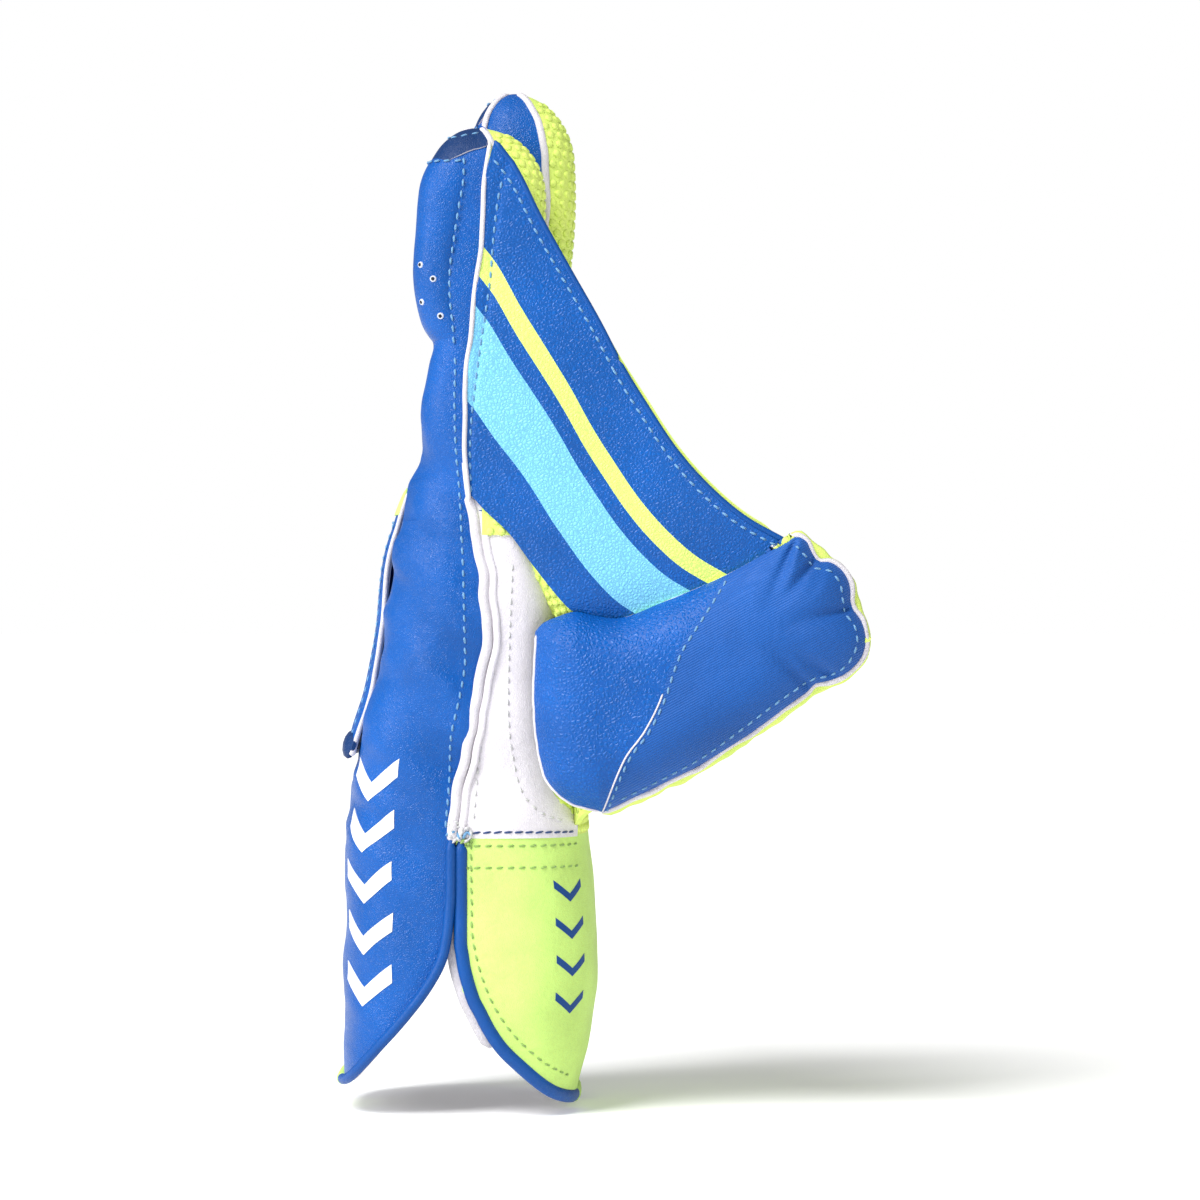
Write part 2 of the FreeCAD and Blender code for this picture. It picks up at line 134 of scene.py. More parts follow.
class GloveColours(bpy.types.PropertyGroup):
    """Dyes of the glove's materials, linear, and the painted shade of the grain hollows."""

    blue: bpy.props.FloatVectorProperty(
        name="Blue", description="Leather of the back, web and thumb", subtype="COLOR", size=4,
        default=(0.0, 0.095, 0.405, 1.0))
    # Painted shade: the colour that the grain hollows of the blue leather, bindings and cloth are darkened
    # towards.
    hollow_shade_blue: bpy.props.FloatVectorProperty(
        name="Dark blue", description="Grain hollows and bindings", subtype="COLOR", size=4,
        default=(0.0, 0.050, 0.270, 1.0))
    lime: bpy.props.FloatVectorProperty(
        name="Lime", description="Rubber, palm cuff and stripe", subtype="COLOR", size=4,
        default=(0.760, 0.970, 0.200, 1.0))
    sky: bpy.props.FloatVectorProperty(
        name="Sky", description="Broad stripe on the web", subtype="COLOR", size=4,
        default=(0.200, 0.600, 0.880, 1.0))
    white: bpy.props.FloatVectorProperty(
        name="White", description="Gusset, raw edges and prints", subtype="COLOR", size=4,
        default=(0.820, 0.785, 0.835, 1.0))
    thread: bpy.props.FloatVectorProperty(
        name="Thread", description="Sewing thread on the blue leather", subtype="COLOR", size=4,
        default=(0.200, 0.500, 0.860, 1.0))


# ------------------------------------------------------------------ smooth lines and tables
def ease(share):
    share = min(max(share, 0.0), 1.0)
    return share * share * (3 - 2 * share)


def mix(a, b, share):
    return a + (b - a) * share


def power(value, exponent):
    return math.copysign(abs(value) ** exponent, value)


class Table:
    """Values along one coordinate, joined smoothly."""

    def __init__(self, rows):
        self.rows = sorted(rows)

    def slope(self, number, column):
        low = self.rows[max(number - 1, 0)]
        high = self.rows[min(number + 1, len(self.rows) - 1)]
        return (high[column] - low[column]) / (high[0] - low[0])

    def at(self, place):
        rows = self.rows
        place = min(max(place, rows[0][0]), rows[-1][0])
        number = max(n for n in range(len(rows) - 1) if rows[n][0] <= place)
        low, high = rows[number], rows[number + 1]
        span = high[0] - low[0]
        t = (place - low[0]) / span
        found = []
        for column in range(1, len(low)):
            found.append(
                (2 * t ** 3 - 3 * t ** 2 + 1) * low[column]
                + (t ** 3 - 2 * t ** 2 + t) * span * self.slope(number, column)
                + (3 * t ** 2 - 2 * t ** 3) * high[column]
                + (t ** 3 - t ** 2) * span * self.slope(number + 1, column))
        return found


class Line:
    """A smooth line through points, read by its share of length."""

    def __init__(self, points):
        self.length = 0.0
        rows = []
        for number, point in enumerate(points):
            if number:
                self.length += (Vector(point) - Vector(points[number - 1])).length
            rows.append((self.length,) + tuple(point))
        self.table = Table(rows)

    def at(self, share):
        return Vector(self.table.at(share * self.length))

    def part(self, low, high):
        """The stretch between two shares, as a function of 0 to 1."""
        return lambda share: self.at(mix(low, high, share))


def coons(bottom, top, left, right):
    """The smooth patch between four lines. Bottom and top run from left to right."""
    corners = (bottom(0.0), bottom(1.0), top(0.0), top(1.0))

    def point(u, v):
        ruled_up = bottom(u) * (1 - v) + top(u) * v
        ruled_across = left(v) * (1 - u) + right(v) * u
        flat = (corners[0] * (1 - u) + corners[1] * u) * (1 - v)
        flat += (corners[2] * (1 - u) + corners[3] * u) * v
        return ruled_up + ruled_across - flat

    return point


# ------------------------------------------------------------------ the hand's shape
# height, back x, palm x, half width of the hand and the cuff
HAND = Table((
    (CUFF_PALM_LOW - 6, -40.6, 33.0, 42.0),
    (-70.0, -40.9, 38.6, 45.5),
    (-48.0, -40.9, 41.8, 47.0),
    (-20.0, -40.6, 41.0, 46.5),
    (0.0, -40.0, 38.8, 46.5),
    (0.15 * KNUCKLE, -37.3, 37.5, 48.0),
    (0.27 * KNUCKLE, -32.6, 37.0, 50.0),
    (0.57 * KNUCKLE, -22.6, 33.0, SIDE - 0.4),
    (0.83 * KNUCKLE, -14.9, 27.0, SIDE - 0.1),
    (KNUCKLE, -12.5, 23.0, SIDE),
    (KNUCKLE + 20, -12.0, 21.0, SIDE),
))
# height, x of the side seam on the thumb side
SEAM = Table((
    (-4.0, -4.6), (6.0, -4.2), (16.0, -2.4), (25.0, -0.8), (34.0, 1.2), (48.0, 3.8), (63.0, 6.3),
    (80.0, 5.6), (98.0, 2.6), (111.0, 0.4), (125.0, -0.6), (139.0, -0.4), (152.0, 0.2), (161.0, 1.6),
    (172.0, 2.6), (187.0, 4.6), (200.0, 5.4), (212.0, 6.0), (220.0, 7.4), (228.0, 8.6),
))
# height, x of the stitches beside the side seam
BACK_ROW = Table((
    (4.0, -6.4), (16.0, -5.4), (32.0, -4.6), (44.0, -2.0), (55.0, -0.2), (64.0, -0.2), (82.0, -0.6),
    (99.0, -1.3), (112.0, -2.0), (125.0, -3.0), (139.0, -3.4), (152.0, -3.2), (164.0, -3.9), (172.0, -4.7),
    (181.0, -4.7), (191.0, -3.4), (201.0, -1.9), (209.0, -0.6), (219.0, -0.4),
))
# height, x where the rubber of the palm begins, on the thumb side and on the little finger's
PALM_START = {
    1: Table((
        (-2.0, 34.5), (6.0, 34.0), (14.0, 27.0), (30.0, 24.0), (60.0, 24.5), (68.0, 28.0), (75.0, 29.5),
        (82.0, 26.5), (90.0, 22.0), (100.0, 16.0), (112.0, 10.0))),
    -1: Table(((-2.0, 30.0), (20.0, 24.0), (60.0, 22.0), (100.0, 16.0), (112.0, 10.0))),
}
# height, how far the leather stands up beside the back guard
PAD = Table(((22.0, 0.0), (35.0, 1.6), (47.0, 2.0), (68.0, 3.6), (88.0, 6.4), (101.0, 5.4), (112.0, 1.6),
             (124.0, 0.0)))
HAND_ROUND = 0.60
CELL_ROUND = 0.30
STALL_ROUND = 0.74


def hand_point(angle, z, proud=0.0):
    """A point of the hand's outside. Angle 0 is the back, 90 degrees the thumb side."""
    back, palm, half = HAND.at(z)
    middle = (back + palm) / 2
    deep = (palm - back) / 2 + proud
    return Vector((
        middle - deep * power(math.cos(angle), HAND_ROUND),
        -(half + proud) * power(math.sin(angle), HAND_ROUND),
        z,
    ))


def hand_angle(x, z):
    """The angle at which the hand's outside has this x."""
    back, palm, half = HAND.at(z)
    share = ((back + palm) / 2 - x) / ((palm - back) / 2)
    return math.acos(min(max(power(share, 1 / HAND_ROUND), -1.0), 1.0))


def stall_middle(name, z):
    share = (z - KNUCKLE) / (TIP[name] - KNUCKLE)
    return FOOT_X + LEAN[name] * math.sin(0.72 * math.pi * max(share, 0.0))


def stall_station(name, v):
    """Height and size share at a share of the way from the ray's start to the fingertip."""
    start = TIP[name] - DOME
    straight = start - RAY_START
    arc = DOME * 1.4
    way = v * (straight + arc)
    if way <= straight:
        return RAY_START + way, 1.0
    turn = (way - straight) / arc * math.pi / 2
    return start + DOME * math.sin(turn), math.cos(turn)


def stall_share(name, z):
    """The share of the way along a finger at which it reaches a height: stall_station turned round."""
    start = TIP[name] - DOME
    straight = start - RAY_START
    arc = DOME * 1.4
    if z <= start:
        return (z - RAY_START) / (straight + arc)
    turn = math.asin(min((z - start) / DOME, 1.0)) / (math.pi / 2)
    return (straight + arc * turn) / (straight + arc)


ROLL_FOOT = KNUCKLE + 26.5
ROLL_TOP = 9.5


def dip(z):
    """How far a finger's back is drawn in under its sausage pad, most in the crease below the pad."""
    crease = math.exp(-((z - ROLL_FOOT + 1.5) / 4.0) ** 2)
    return 1.5 * ease((z - KNUCKLE - 6) / 16) + 1.6 * crease


def stall_point(name, angle, v, proud=0.0):
    """A point of a finger's outside: part of the hand at its foot, a stall of its own above."""
    z, size = stall_station(name, v)
    own = ease((z - KNUCKLE + 22.0) / 26.0)
    middle = stall_middle(name, z)
    c, s = math.cos(angle), math.sin(angle)
    deep = (STALL_DEEP + proud) * size
    if c < 0 and name == "index":
        deep += 5.5 * ease((z - KNUCKLE - 10) / 50.0) * size
    across = (STALL_HALF + proud) * size
    point = Vector((
        middle - deep * power(c, STALL_ROUND) + dip(z) * size * max(c, 0.0) ** 0.8,
        MIDDLE_Y[name] - across * power(s, STALL_ROUND),
        z,
    ))
    if own >= 1.0:
        return point
    back, palm, half = HAND.at(z)
    cell_low = -SIDE if name == "index" else MIDDLE_Y[name] - PITCH / 2
    cell_high = SIDE if name == "little" else MIDDLE_Y[name] + PITCH / 2
    valley = mix(0.03, CELL_ROUND, ease((z - RAY_START) / 24.0))
    y = (cell_low + cell_high) / 2 - (cell_high - cell_low) / 2 * power(s, CELL_ROUND)
    edge = max(1 - min(abs(y / half), 1.0) ** (2 / HAND_ROUND), 0.0) ** (HAND_ROUND / 2)
    cell = Vector((
        (back + palm) / 2 - ((palm - back) / 2 + proud) * edge * power(c, valley),
        y - proud * power(s, CELL_ROUND), z,
    ))
    return cell.lerp(point, own)


def stall_angle(name, x, v):
    """The angle at which a finger's outside has this x, on the thumb side."""
    low, high = 0.0, math.pi
    for step in range(30):
        middle = (low + high) / 2
        if stall_point(name, middle, v).x < x:
            low = middle
        else:
            high = middle
    return low


# ------------------------------------------------------------------ mesh tools
def new_object(name, mesh):
    data = bpy.data.meshes.new(name)
    mesh.to_mesh(data)
    mesh.free()
    piece = bpy.data.objects.new(name, data)
    bpy.context.scene.collection.objects.link(piece)
    return piece


FOLD_LONG = 0.034
FOLD_SHORT = 0.013
FOLD_TILT = math.radians(-38)


def fold_height(place):
    """Soft slanting folds, from -1 to 1, the same for every piece that passes through a place."""
    along = place.x * math.cos(FOLD_TILT) + place.z * math.sin(FOLD_TILT)
    across = place.z * math.cos(FOLD_TILT) - place.x * math.sin(FOLD_TILT)
    broad = noise.noise(Vector((along / FOLD_LONG, across / FOLD_SHORT, place.y / 0.05)))
    low = noise.noise(place / 0.03 + Vector((5.1, 2.7, 0.0)))
    fine = noise.noise(Vector((along / 0.012, across / 0.0045, place.y / 0.02)))
    return 0.95 * broad + 0.55 * low + 0.16 * fine


def ruffle(mesh, depth):
    """Moves points along their normals by the folds. The depth may change with the place."""
    mesh.normal_update()
    moves = []
    for vertex in mesh.verts:
        deep = depth(vertex.co) if callable(depth) else depth
        moves.append(vertex.normal * deep * fold_height(vertex.co))
    for vertex, move in zip(mesh.verts, moves):
        vertex.co += move


def back_folds(place):
    """Depth of the folds on the back: slack over the hand, taut on the fingers and the cuff's edge."""
    sizes = bpy.context.scene.glove_sizes
    fingers = ease((place.z / MM - KNUCKLE + 16) / 30)
    cuff = ease((-place.z / MM + 10) / 40)
    return sizes.wrinkle * (1 - 0.86 * fingers) * (1 - 0.55 * cuff)


def patch(name, across, along, place, size=(0.1, 0.1), folds=0.0, inside=None, closed=False):
    """A grid laid over the surface place(u, v), in millimetres, with a UV map in metres."""
    mesh = bmesh.new()
    bmesh.ops.create_grid(mesh, x_segments=across, y_segments=along, size=0.5)
    shares = {vertex: (vertex.co.x + 0.5, vertex.co.y + 0.5) for vertex in mesh.verts}
    layer = mesh.loops.layers.uv.new("UVMap")
    for face in mesh.faces:
        for loop in face.loops:
            u, v = shares[loop.vert]
            loop[layer].uv = (u * size[0], v * size[1])
    for vertex, (u, v) in shares.items():
        vertex.co = place(u, v) * MM
    bmesh.ops.remove_doubles(mesh, verts=mesh.verts, dist=0.00001)
    if inside is not None:
        mesh.normal_update()
        vote = 0.0
        for face in mesh.faces:
            centre = face.calc_center_median()
            core = Vector((inside[0] * MM, inside[1] * MM, centre.z))
            vote += face.normal.dot(centre - core) * face.calc_area()
        if vote < 0:
            bmesh.ops.reverse_faces(mesh, faces=mesh.faces)
    if closed:
        bmesh.ops.recalc_face_normals(mesh, faces=mesh.faces)
    if folds:
        ruffle(mesh, folds)
    for face in mesh.faces:
        face.smooth = True
    for edge in mesh.edges:
        if edge.is_boundary:
            edge.smooth = False
    return new_object(name, mesh)


def walled(piece, wall, rim=1):
    """Gives a sheet its thickness, inwards, with the second material on its cut edges."""
    solid = piece.modifiers.new("Wall", "SOLIDIFY")
    solid.thickness = wall
    solid.offset = -1.0
    solid.use_even_offset = False
    solid.material_offset_rim = rim
    return piece


def dress(piece, slot, *materials):
    for material in materials:
        piece.data.materials.append(material)
    return piece


def surface_of(pieces):
    """One search tree over several pieces' own meshes."""
    points, faces = [], []
    for piece in pieces:
        start = len(points)
        points += [vertex.co.copy() for vertex in piece.data.vertices]
        faces += [[start + index for index in face.vertices] for face in piece.data.polygons]
    return BVHTree.FromPolygons(points, faces)


TOWARDS = {"side": Vector((0, 1, 0)), "back": Vector((1, 0, 0)), "palm": Vector((-1, 0, 0)),
           "little": Vector((0, -1, 0))}


def dropped(tree, line, towards, step):
    """Points of a flat line dropped on a surface, with the surface's normals."""
    found = []
    way = TOWARDS[towards]
    count = max(int(line.length / step), 2)
    for number in range(count + 1):
        first, z = line.at(number / count)
        if towards in ("side", "little"):
            start = Vector((first, 0, z)) * MM - way * 0.3
        else:
            start = Vector((0, first, z)) * MM - way * 0.3
        hit, normal, index, distance = tree.ray_cast(start, way)
        if hit is not None:
            if normal.dot(way) > 0:
                normal = -normal
            found.append((hit, normal))
    return found


def smoothed(run, reach, outermost=False):
    """A run of points and normals, averaged along its way, first held to its outermost points if asked."""
    places = [place.copy() for place, normal in run]
    last = len(run) - 1
    if outermost:
        for number, place in enumerate(places):
            near = run[max(number - reach, 0):number + reach + 1]
            place.y = min(other.y for other, normal in near)
    found = []
    for number in range(last + 1):
        width = min(reach, number, last - number)
        span = range(number - width, number + width + 1)
        place = sum((places[n] for n in span), Vector()) / len(span)
        normal = sum((run[n][1] for n in span), Vector()).normalized()
        found.append((place, normal))
    return found


def even(points, pitch):
    """Points and normals spaced evenly along a run of points and normals."""
    spaced = []
    left = 0.0
    for (a, normal_a), (b, normal_b) in zip(points, points[1:]):
        gap = (b - a).length
        if gap < 1e-7:
            continue
        while left <= gap:
            share = left / gap
            spaced.append((a.lerp(b, share), normal_a.lerp(normal_b, share).normalized(), (b - a) / gap))
            left += pitch
        left -= gap
    return spaced


def sew(name, runs, body, material, length=None, gap=None, radius=None, slant=0.12):
    """Stitches along runs of surface points, each a short plump capsule."""
    sizes = bpy.context.scene.glove_sizes
    length = length or sizes.stitch
    gap = gap or sizes.stitch_gap
    radius = radius or sizes.thread
    mesh = bmesh.new()
    for run in runs:
        for place, normal, along in even(run, length + gap):
            made = bmesh.ops.create_icosphere(mesh, subdivisions=1, radius=1.0)["verts"]
            side = normal.cross(along).normalized()
            along = (along + side * slant * random.uniform(0.4, 1.6)).normalized()
            side = normal.cross(along).normalized()
            for vertex in made:
                x, y, z = vertex.co
                vertex.co = (
                    place + along * power(x, 0.7) * length / 2 + side * y * radius
                    + normal * (z * radius * 0.8 + radius * 0.35 - abs(x) ** 3 * radius * 0.7))
    for face in mesh.faces:
        face.smooth = True
    piece = new_object(name, mesh)
    piece.data.materials.append(material)
    return settle(piece, body)


def settle(piece, body):
    """Rides on one body, given by name. Given two as (a, b, start, end), it rides on neither: its transform is
    baked and it does not bend.
    """
    if isinstance(body, str):
        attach(piece, body)
    else:
        first, second, start, end = body
        Vector(start) * MM
        Vector(end) * MM
        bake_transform(piece)
    return piece


def normal_at(place, u, v, core):
    """The outward normal of a surface place(u, v), away from the point core."""
    step = 0.004
    across = place(min(u + step, 1.0), v) - place(max(u - step, 0.0), v)
    along = place(u, min(v + step, 1.0)) - place(u, max(v - step, 0.0))
    normal = across.cross(along)
    if normal.length < 1e-9:
        return Vector((0, 0, 1))
    normal.normalize()
    point = place(u, v)
    away = point - Vector((core[0], core[1], point.z if core[2] is None else core[2]))
    return normal if normal.dot(away) > 0 else -normal


def path_on(place, path, core, lift=0.0):
    """Points and normals of a surface place(u, v) along a path of u and v."""
    run = []
    for u, v in path:
        normal = normal_at(place, u, v, core)
        run.append(((place(u, v) + normal * lift) * MM, normal))
    return run


def pimple_rows(place, low, high, margin=(0.03, 0.97), samples=48):
    """Evenly spaced u and v of a hexagonal lattice of pimples on a surface place(u, v)."""
    pitch = bpy.context.scene.glove_sizes.pimple_pitch / MM
    found = []
    v = low
    row = 0
    while v < high:
        points = [place(mix(margin[0], margin[1], n / samples), v) for n in range(samples + 1)]
        lengths = [0.0]
        for a, b in zip(points, points[1:]):
            lengths.append(lengths[-1] + (b - a).length)
        total = lengths[-1]
        count = int(total / pitch)
        first = (total - count * pitch) / 2 + (pitch / 2 if row % 2 else 0.0)
        segment = 0
        way = first
        while way < total:
            while segment < samples - 1 and lengths[segment + 1] < way:
                segment += 1
            span = max(lengths[segment + 1] - lengths[segment], 1e-6)
            share = (segment + (way - lengths[segment]) / span) / samples
            found.append((mix(margin[0], margin[1], share), v))
            way += pitch
        middle = place(0.5, v)
        rise = (place(0.5, min(v + 0.01, 1.0)) - middle).length / 0.01
        v += 0.866 * pitch / max(rise, 1.0)
        row += 1
    return found


def pimples(name, place, spots, core, body, lift=0.0, skip=None):
    """Low round pimples standing on a rubber surface."""
    radius = 0.42 * bpy.context.scene.glove_sizes.pimple_pitch
    mesh = bmesh.new()
    for u, v in spots:
        point = place(u, v)
        if skip is not None and skip(point):
            continue
        normal = normal_at(place, u, v, core)
        turn = Vector((0, 0, 1)).rotation_difference(normal).to_matrix().to_4x4()
        turn.translation = (point + normal * (lift + 0.15)) * MM
        bmesh.ops.create_cone(
            mesh, cap_ends=True, segments=8, radius1=radius, radius2=radius * 0.58,
            depth=0.62 * MM, matrix=turn)
    for face in mesh.faces:
        face.smooth = True
    piece = new_object(name, mesh)
    dress(piece, "lime_rubber", finish_of("lime_rubber"))
    return settle(piece, body)


def bead(name, run, radius, sides=10, flat=1.0, wave=0.0, wave_length=9.0, seed=0.0, shift=0.0):
    """A rounded strip along surface points. Flat widens it along the surface, shift moves it sideways."""
    spaced = even(run, radius * 0.9)
    count = len(spaced)

    def place(u, v):
        number = min(int(round(v * (count - 1))), count - 1)
        point, normal, along = spaced[number]
        side = normal.cross(along).normalized()
        turn = 2 * math.pi * u
        way = number * radius * 0.9 / MM
        bend = wave * 2.2 * noise.noise(Vector((way / wave_length, seed, 0.5))) + shift
        end = min(v, 1 - v) * (count - 1)
        taper = min(1.0, 0.35 + end * 0.33)
        offset = side * (math.cos(turn) * radius * flat * taper + bend * MM)
        offset += normal * math.sin(turn) * radius * taper
        return (point + offset) / MM

    piece = patch(name, sides, count - 1, place, size=(radius * 6, count * radius), closed=True)
    mesh = bmesh.new()
    mesh.from_mesh(piece.data)
    bmesh.ops.holes_fill(mesh, edges=[edge for edge in mesh.edges if edge.is_boundary], sides=0)
    bmesh.ops.recalc_face_normals(mesh, faces=mesh.faces)
    for face in mesh.faces:
        face.smooth = True
    mesh.to_mesh(piece.data)
    mesh.free()
    return piece


# ------------------------------------------------------------------ materials
def new_group(name, inputs, outputs):
    """A shader node group with named inputs and outputs."""
    tree = bpy.data.node_groups.new(name, "ShaderNodeTree")
    for label, kind, value in inputs:
        socket = tree.interface.new_socket(label, in_out="INPUT", socket_type="NodeSocket" + kind)
        if value is not None:
            socket.default_value = value
    for label, kind in outputs:
        tree.interface.new_socket(label, in_out="OUTPUT", socket_type="NodeSocket" + kind)
    return tree, tree.nodes.new("NodeGroupInput"), tree.nodes.new("NodeGroupOutput")


def node(tree, kind, **settings):
    made = tree.nodes.new("ShaderNode" + kind)
    for key, value in settings.items():
        if key in made.inputs:
            made.inputs[key].default_value = value
        else:
            setattr(made, key, value)
    return made


def maths(tree, operation, first, second=None, third=None):
    made = node(tree, "Math", operation=operation)
    for number, value in enumerate((first, second, third)):
        if value is None:
            continue
        if isinstance(value, (int, float)):
            made.inputs[number].default_value = value
        else:
            tree.links.new(value, made.inputs[number])
    return made.outputs[0]


def grain_group():
    """Leather grain: pebbles between fine valleys, uneven in size."""
    tree, start, end = new_group(
        "leather_grain", (("Vector", "Vector", None), ("Scale", "Float", 700.0)),
        (("Height", "Float"), ("Valley", "Float")))
    warp = node(tree, "TexNoise", Detail=2.0)
    tree.links.new(start.outputs["Vector"], warp.inputs["Vector"])
    warp.inputs["Scale"].default_value = 260.0
    shift = node(tree, "VectorMath", operation="MULTIPLY_ADD")
    shift.inputs[1].default_value = (0.0011, 0.0011, 0.0011)
    tree.links.new(warp.outputs["Color"], shift.inputs[0])
    tree.links.new(start.outputs["Vector"], shift.inputs[2])
    cells = node(tree, "TexVoronoi", feature="DISTANCE_TO_EDGE")
    tree.links.new(shift.outputs[0], cells.inputs["Vector"])
    tree.links.new(start.outputs["Scale"], cells.inputs["Scale"])
    valley = node(tree, "MapRange", interpolation_type="SMOOTHSTEP")
    valley.inputs["From Max"].default_value = 0.16
    valley.inputs["To Min"].default_value = 1.0
    valley.inputs["To Max"].default_value = 0.0
    tree.links.new(cells.outputs["Distance"], valley.inputs["Value"])
    dome = node(tree, "MapRange", interpolation_type="SMOOTHERSTEP")
    dome.inputs["From Max"].default_value = 0.42
    tree.links.new(cells.outputs["Distance"], dome.inputs["Value"])
    fine = node(tree, "TexNoise", Scale=5200.0, Detail=2.0)
    tree.links.new(start.outputs["Vector"], fine.inputs["Vector"])
    height = maths(tree, "MULTIPLY_ADD", fine.outputs["Fac"], 0.16, dome.outputs[0])
    tree.links.new(height, end.inputs["Height"])
    tree.links.new(valley.outputs[0], end.inputs["Valley"])
    return tree


def tone_group():
    """Broad unevenness of a dye, with small flecks."""
    tree, start, end = new_group(
        "dye_tone", (("Vector", "Vector", None), ("Scale", "Float", 45.0)), (("Tone", "Float"),))
    broad = node(tree, "TexNoise", Detail=3.0, Roughness=0.55)
    fleck = node(tree, "TexNoise", Scale=900.0, Detail=1.0)
    tree.links.new(start.outputs["Vector"], broad.inputs["Vector"])
    tree.links.new(start.outputs["Scale"], broad.inputs["Scale"])
    tree.links.new(start.outputs["Vector"], fleck.inputs["Vector"])
    total = maths(tree, "MULTIPLY_ADD", fleck.outputs["Fac"], 0.25, broad.outputs["Fac"])
    spread = node(tree, "MapRange")
    spread.inputs["From Min"].default_value = 0.42
    spread.inputs["From Max"].default_value = 0.85
    tree.links.new(total, spread.inputs["Value"])
    tree.links.new(spread.outputs[0], end.inputs["Tone"])
    return tree


def rib_group():
    """Fine raised ribs across one direction of the vector given."""
    tree, start, end = new_group(
        "rib_cloth", (("Vector", "Vector", None), ("Scale", "Float", 900.0)),
        (("Height", "Float"), ("Valley", "Float")))
    wave = node(tree, "TexWave", wave_type="BANDS", bands_direction="X", Distortion=0.6)
    wave.inputs["Detail Scale"].default_value = 2.0
    tree.links.new(start.outputs["Vector"], wave.inputs["Vector"])
    tree.links.new(start.outputs["Scale"], wave.inputs["Scale"])
    cross = node(tree, "TexWave", wave_type="BANDS", bands_direction="Y")
    tree.links.new(start.outputs["Vector"], cross.inputs["Vector"])
    doubled = maths(tree, "MULTIPLY", start.outputs["Scale"], 1.4)
    tree.links.new(doubled, cross.inputs["Scale"])
    height = maths(tree, "MULTIPLY_ADD", cross.outputs["Fac"], 0.35, wave.outputs["Fac"])
    tree.links.new(height, end.inputs["Height"])
    valley = maths(tree, "SUBTRACT", 1.0, wave.outputs["Fac"])
    tree.links.new(valley, end.inputs["Valley"])
    return tree


class Finish:
    """A material in the making: one Principled shader and what feeds it."""

    def __init__(self, name, roughness, sheen=0.0, ior=1.38):
        self.material = bpy.data.materials.new(name + "_finish")
        self.material.use_nodes = True
        self.tree = self.material.node_tree
        self.shader = self.tree.nodes["Principled BSDF"]
        self.shader.inputs["Roughness"].default_value = roughness
        self.shader.inputs["Sheen Weight"].default_value = sheen
        self.shader.inputs["IOR"].default_value = ior
        self.place = node(self.tree, "TexCoord")

    def group(self, name, scale, turn=0.0, source="Object"):
        mapping = node(self.tree, "Mapping")
        about_y = source == "Object"
        mapping.inputs["Rotation"].default_value = (0.0, turn, 0.0) if about_y else (0.0, 0.0, turn)
        self.tree.links.new(self.place.outputs[source], mapping.inputs["Vector"])
        made = node(self.tree, "Group")
        made.node_tree = bpy.data.node_groups[name]
        made.inputs["Scale"].default_value = scale
        self.tree.links.new(mapping.outputs[0], made.inputs["Vector"])
        return made

    def mixed(self, factor, first, second):
        """Two colours, given as values or sockets, mixed by a socket."""
        made = node(self.tree, "Mix", data_type="RGBA")
        self.tree.links.new(factor, made.inputs["Factor"])
        for socket, value in ((made.inputs[6], first), (made.inputs[7], second)):
            if isinstance(value, bpy.types.NodeSocket):
                self.tree.links.new(value, socket)
            else:
                socket.default_value = tuple(value)
        return made.outputs[2]

    def colour(self, socket):
        self.tree.links.new(socket, self.shader.inputs["Base Color"])

    def bump(self, height, distance, strength=1.0, under=None):
        made = node(self.tree, "Bump", Strength=strength, Distance=distance)
        self.tree.links.new(height, made.inputs["Height"])
        if under is not None:
            self.tree.links.new(under, made.inputs["Normal"])
        self.tree.links.new(made.outputs[0], self.shader.inputs["Normal"])
        return made.outputs[0]

    def rough(self, factor, low, high):
        spread = node(self.tree, "MapRange")
        spread.inputs["To Min"].default_value = low
        spread.inputs["To Max"].default_value = high
        self.tree.links.new(factor, spread.inputs["Value"])
        self.tree.links.new(spread.outputs[0], self.shader.inputs["Roughness"])


def scaled(colour, factor):
    return tuple(min(part * factor, 1.0) for part in colour[:3]) + (1.0,)


def leather(name, colour, hollow_shade, scale, depth, rough=(0.42, 0.62), grain="leather_grain", turn=0.0,
            base=None, sheen=0.0, hollow_shade_share=0.45):
    """Grained leather or ribbed cloth: painted shade in the hollows of the grain, an uneven dye and a soft
    gloss.
    """
    finish = Finish(name, rough[0], sheen=sheen)
    tone = finish.group("dye_tone", 38.0)
    grain_node = finish.group(grain, scale, turn)
    if base is None:
        body = finish.mixed(tone.outputs["Tone"], scaled(colour, 0.86), scaled(colour, 1.13))
    else:
        body = base(finish, tone)
    # Painted shade: the colour is mixed towards the darker second colour where the grain's valleys lie.
    valley = maths(finish.tree, "MULTIPLY", grain_node.outputs["Valley"], hollow_shade_share)
    finish.colour(finish.mixed(valley, body, hollow_shade))
    finish.rough(grain_node.outputs["Valley"], *rough)
    crease = node(finish.tree, "TexNoise", Scale=150.0, Detail=4.0, Roughness=0.6, Distortion=0.8)
    finish.tree.links.new(finish.place.outputs["Object"], crease.inputs["Vector"])
    under = finish.bump(crease.outputs["Fac"], 0.0009, 0.35)
    finish.bump(grain_node.outputs["Height"], depth, 0.8, under)
    return finish.material


def stripes(finish, tone):
    """The web's printed bands, placed by the share of the way from its inner to its free edge."""
    colours = bpy.context.scene.glove_colours
    tree = finish.tree
    split = node(tree, "SeparateXYZ")
    tree.links.new(finish.place.outputs["UV"], split.inputs[0])
    body = finish.mixed(tone.outputs["Tone"], scaled(colours.blue, 0.86), scaled(colours.blue, 1.13))
    for low, high, ink in ((0.262, 0.528, colours.sky), (0.612, 0.704, colours.lime)):
        above = maths(tree, "GREATER_THAN", split.outputs["X"], low)
        below = maths(tree, "LESS_THAN", split.outputs["X"], high)
        inked = maths(tree, "MULTIPLY", above, below)
        shade = finish.mixed(tone.outputs["Tone"], scaled(ink, 0.95), scaled(ink, 1.04))
        body = finish.mixed(inked, body, shade)
    return body


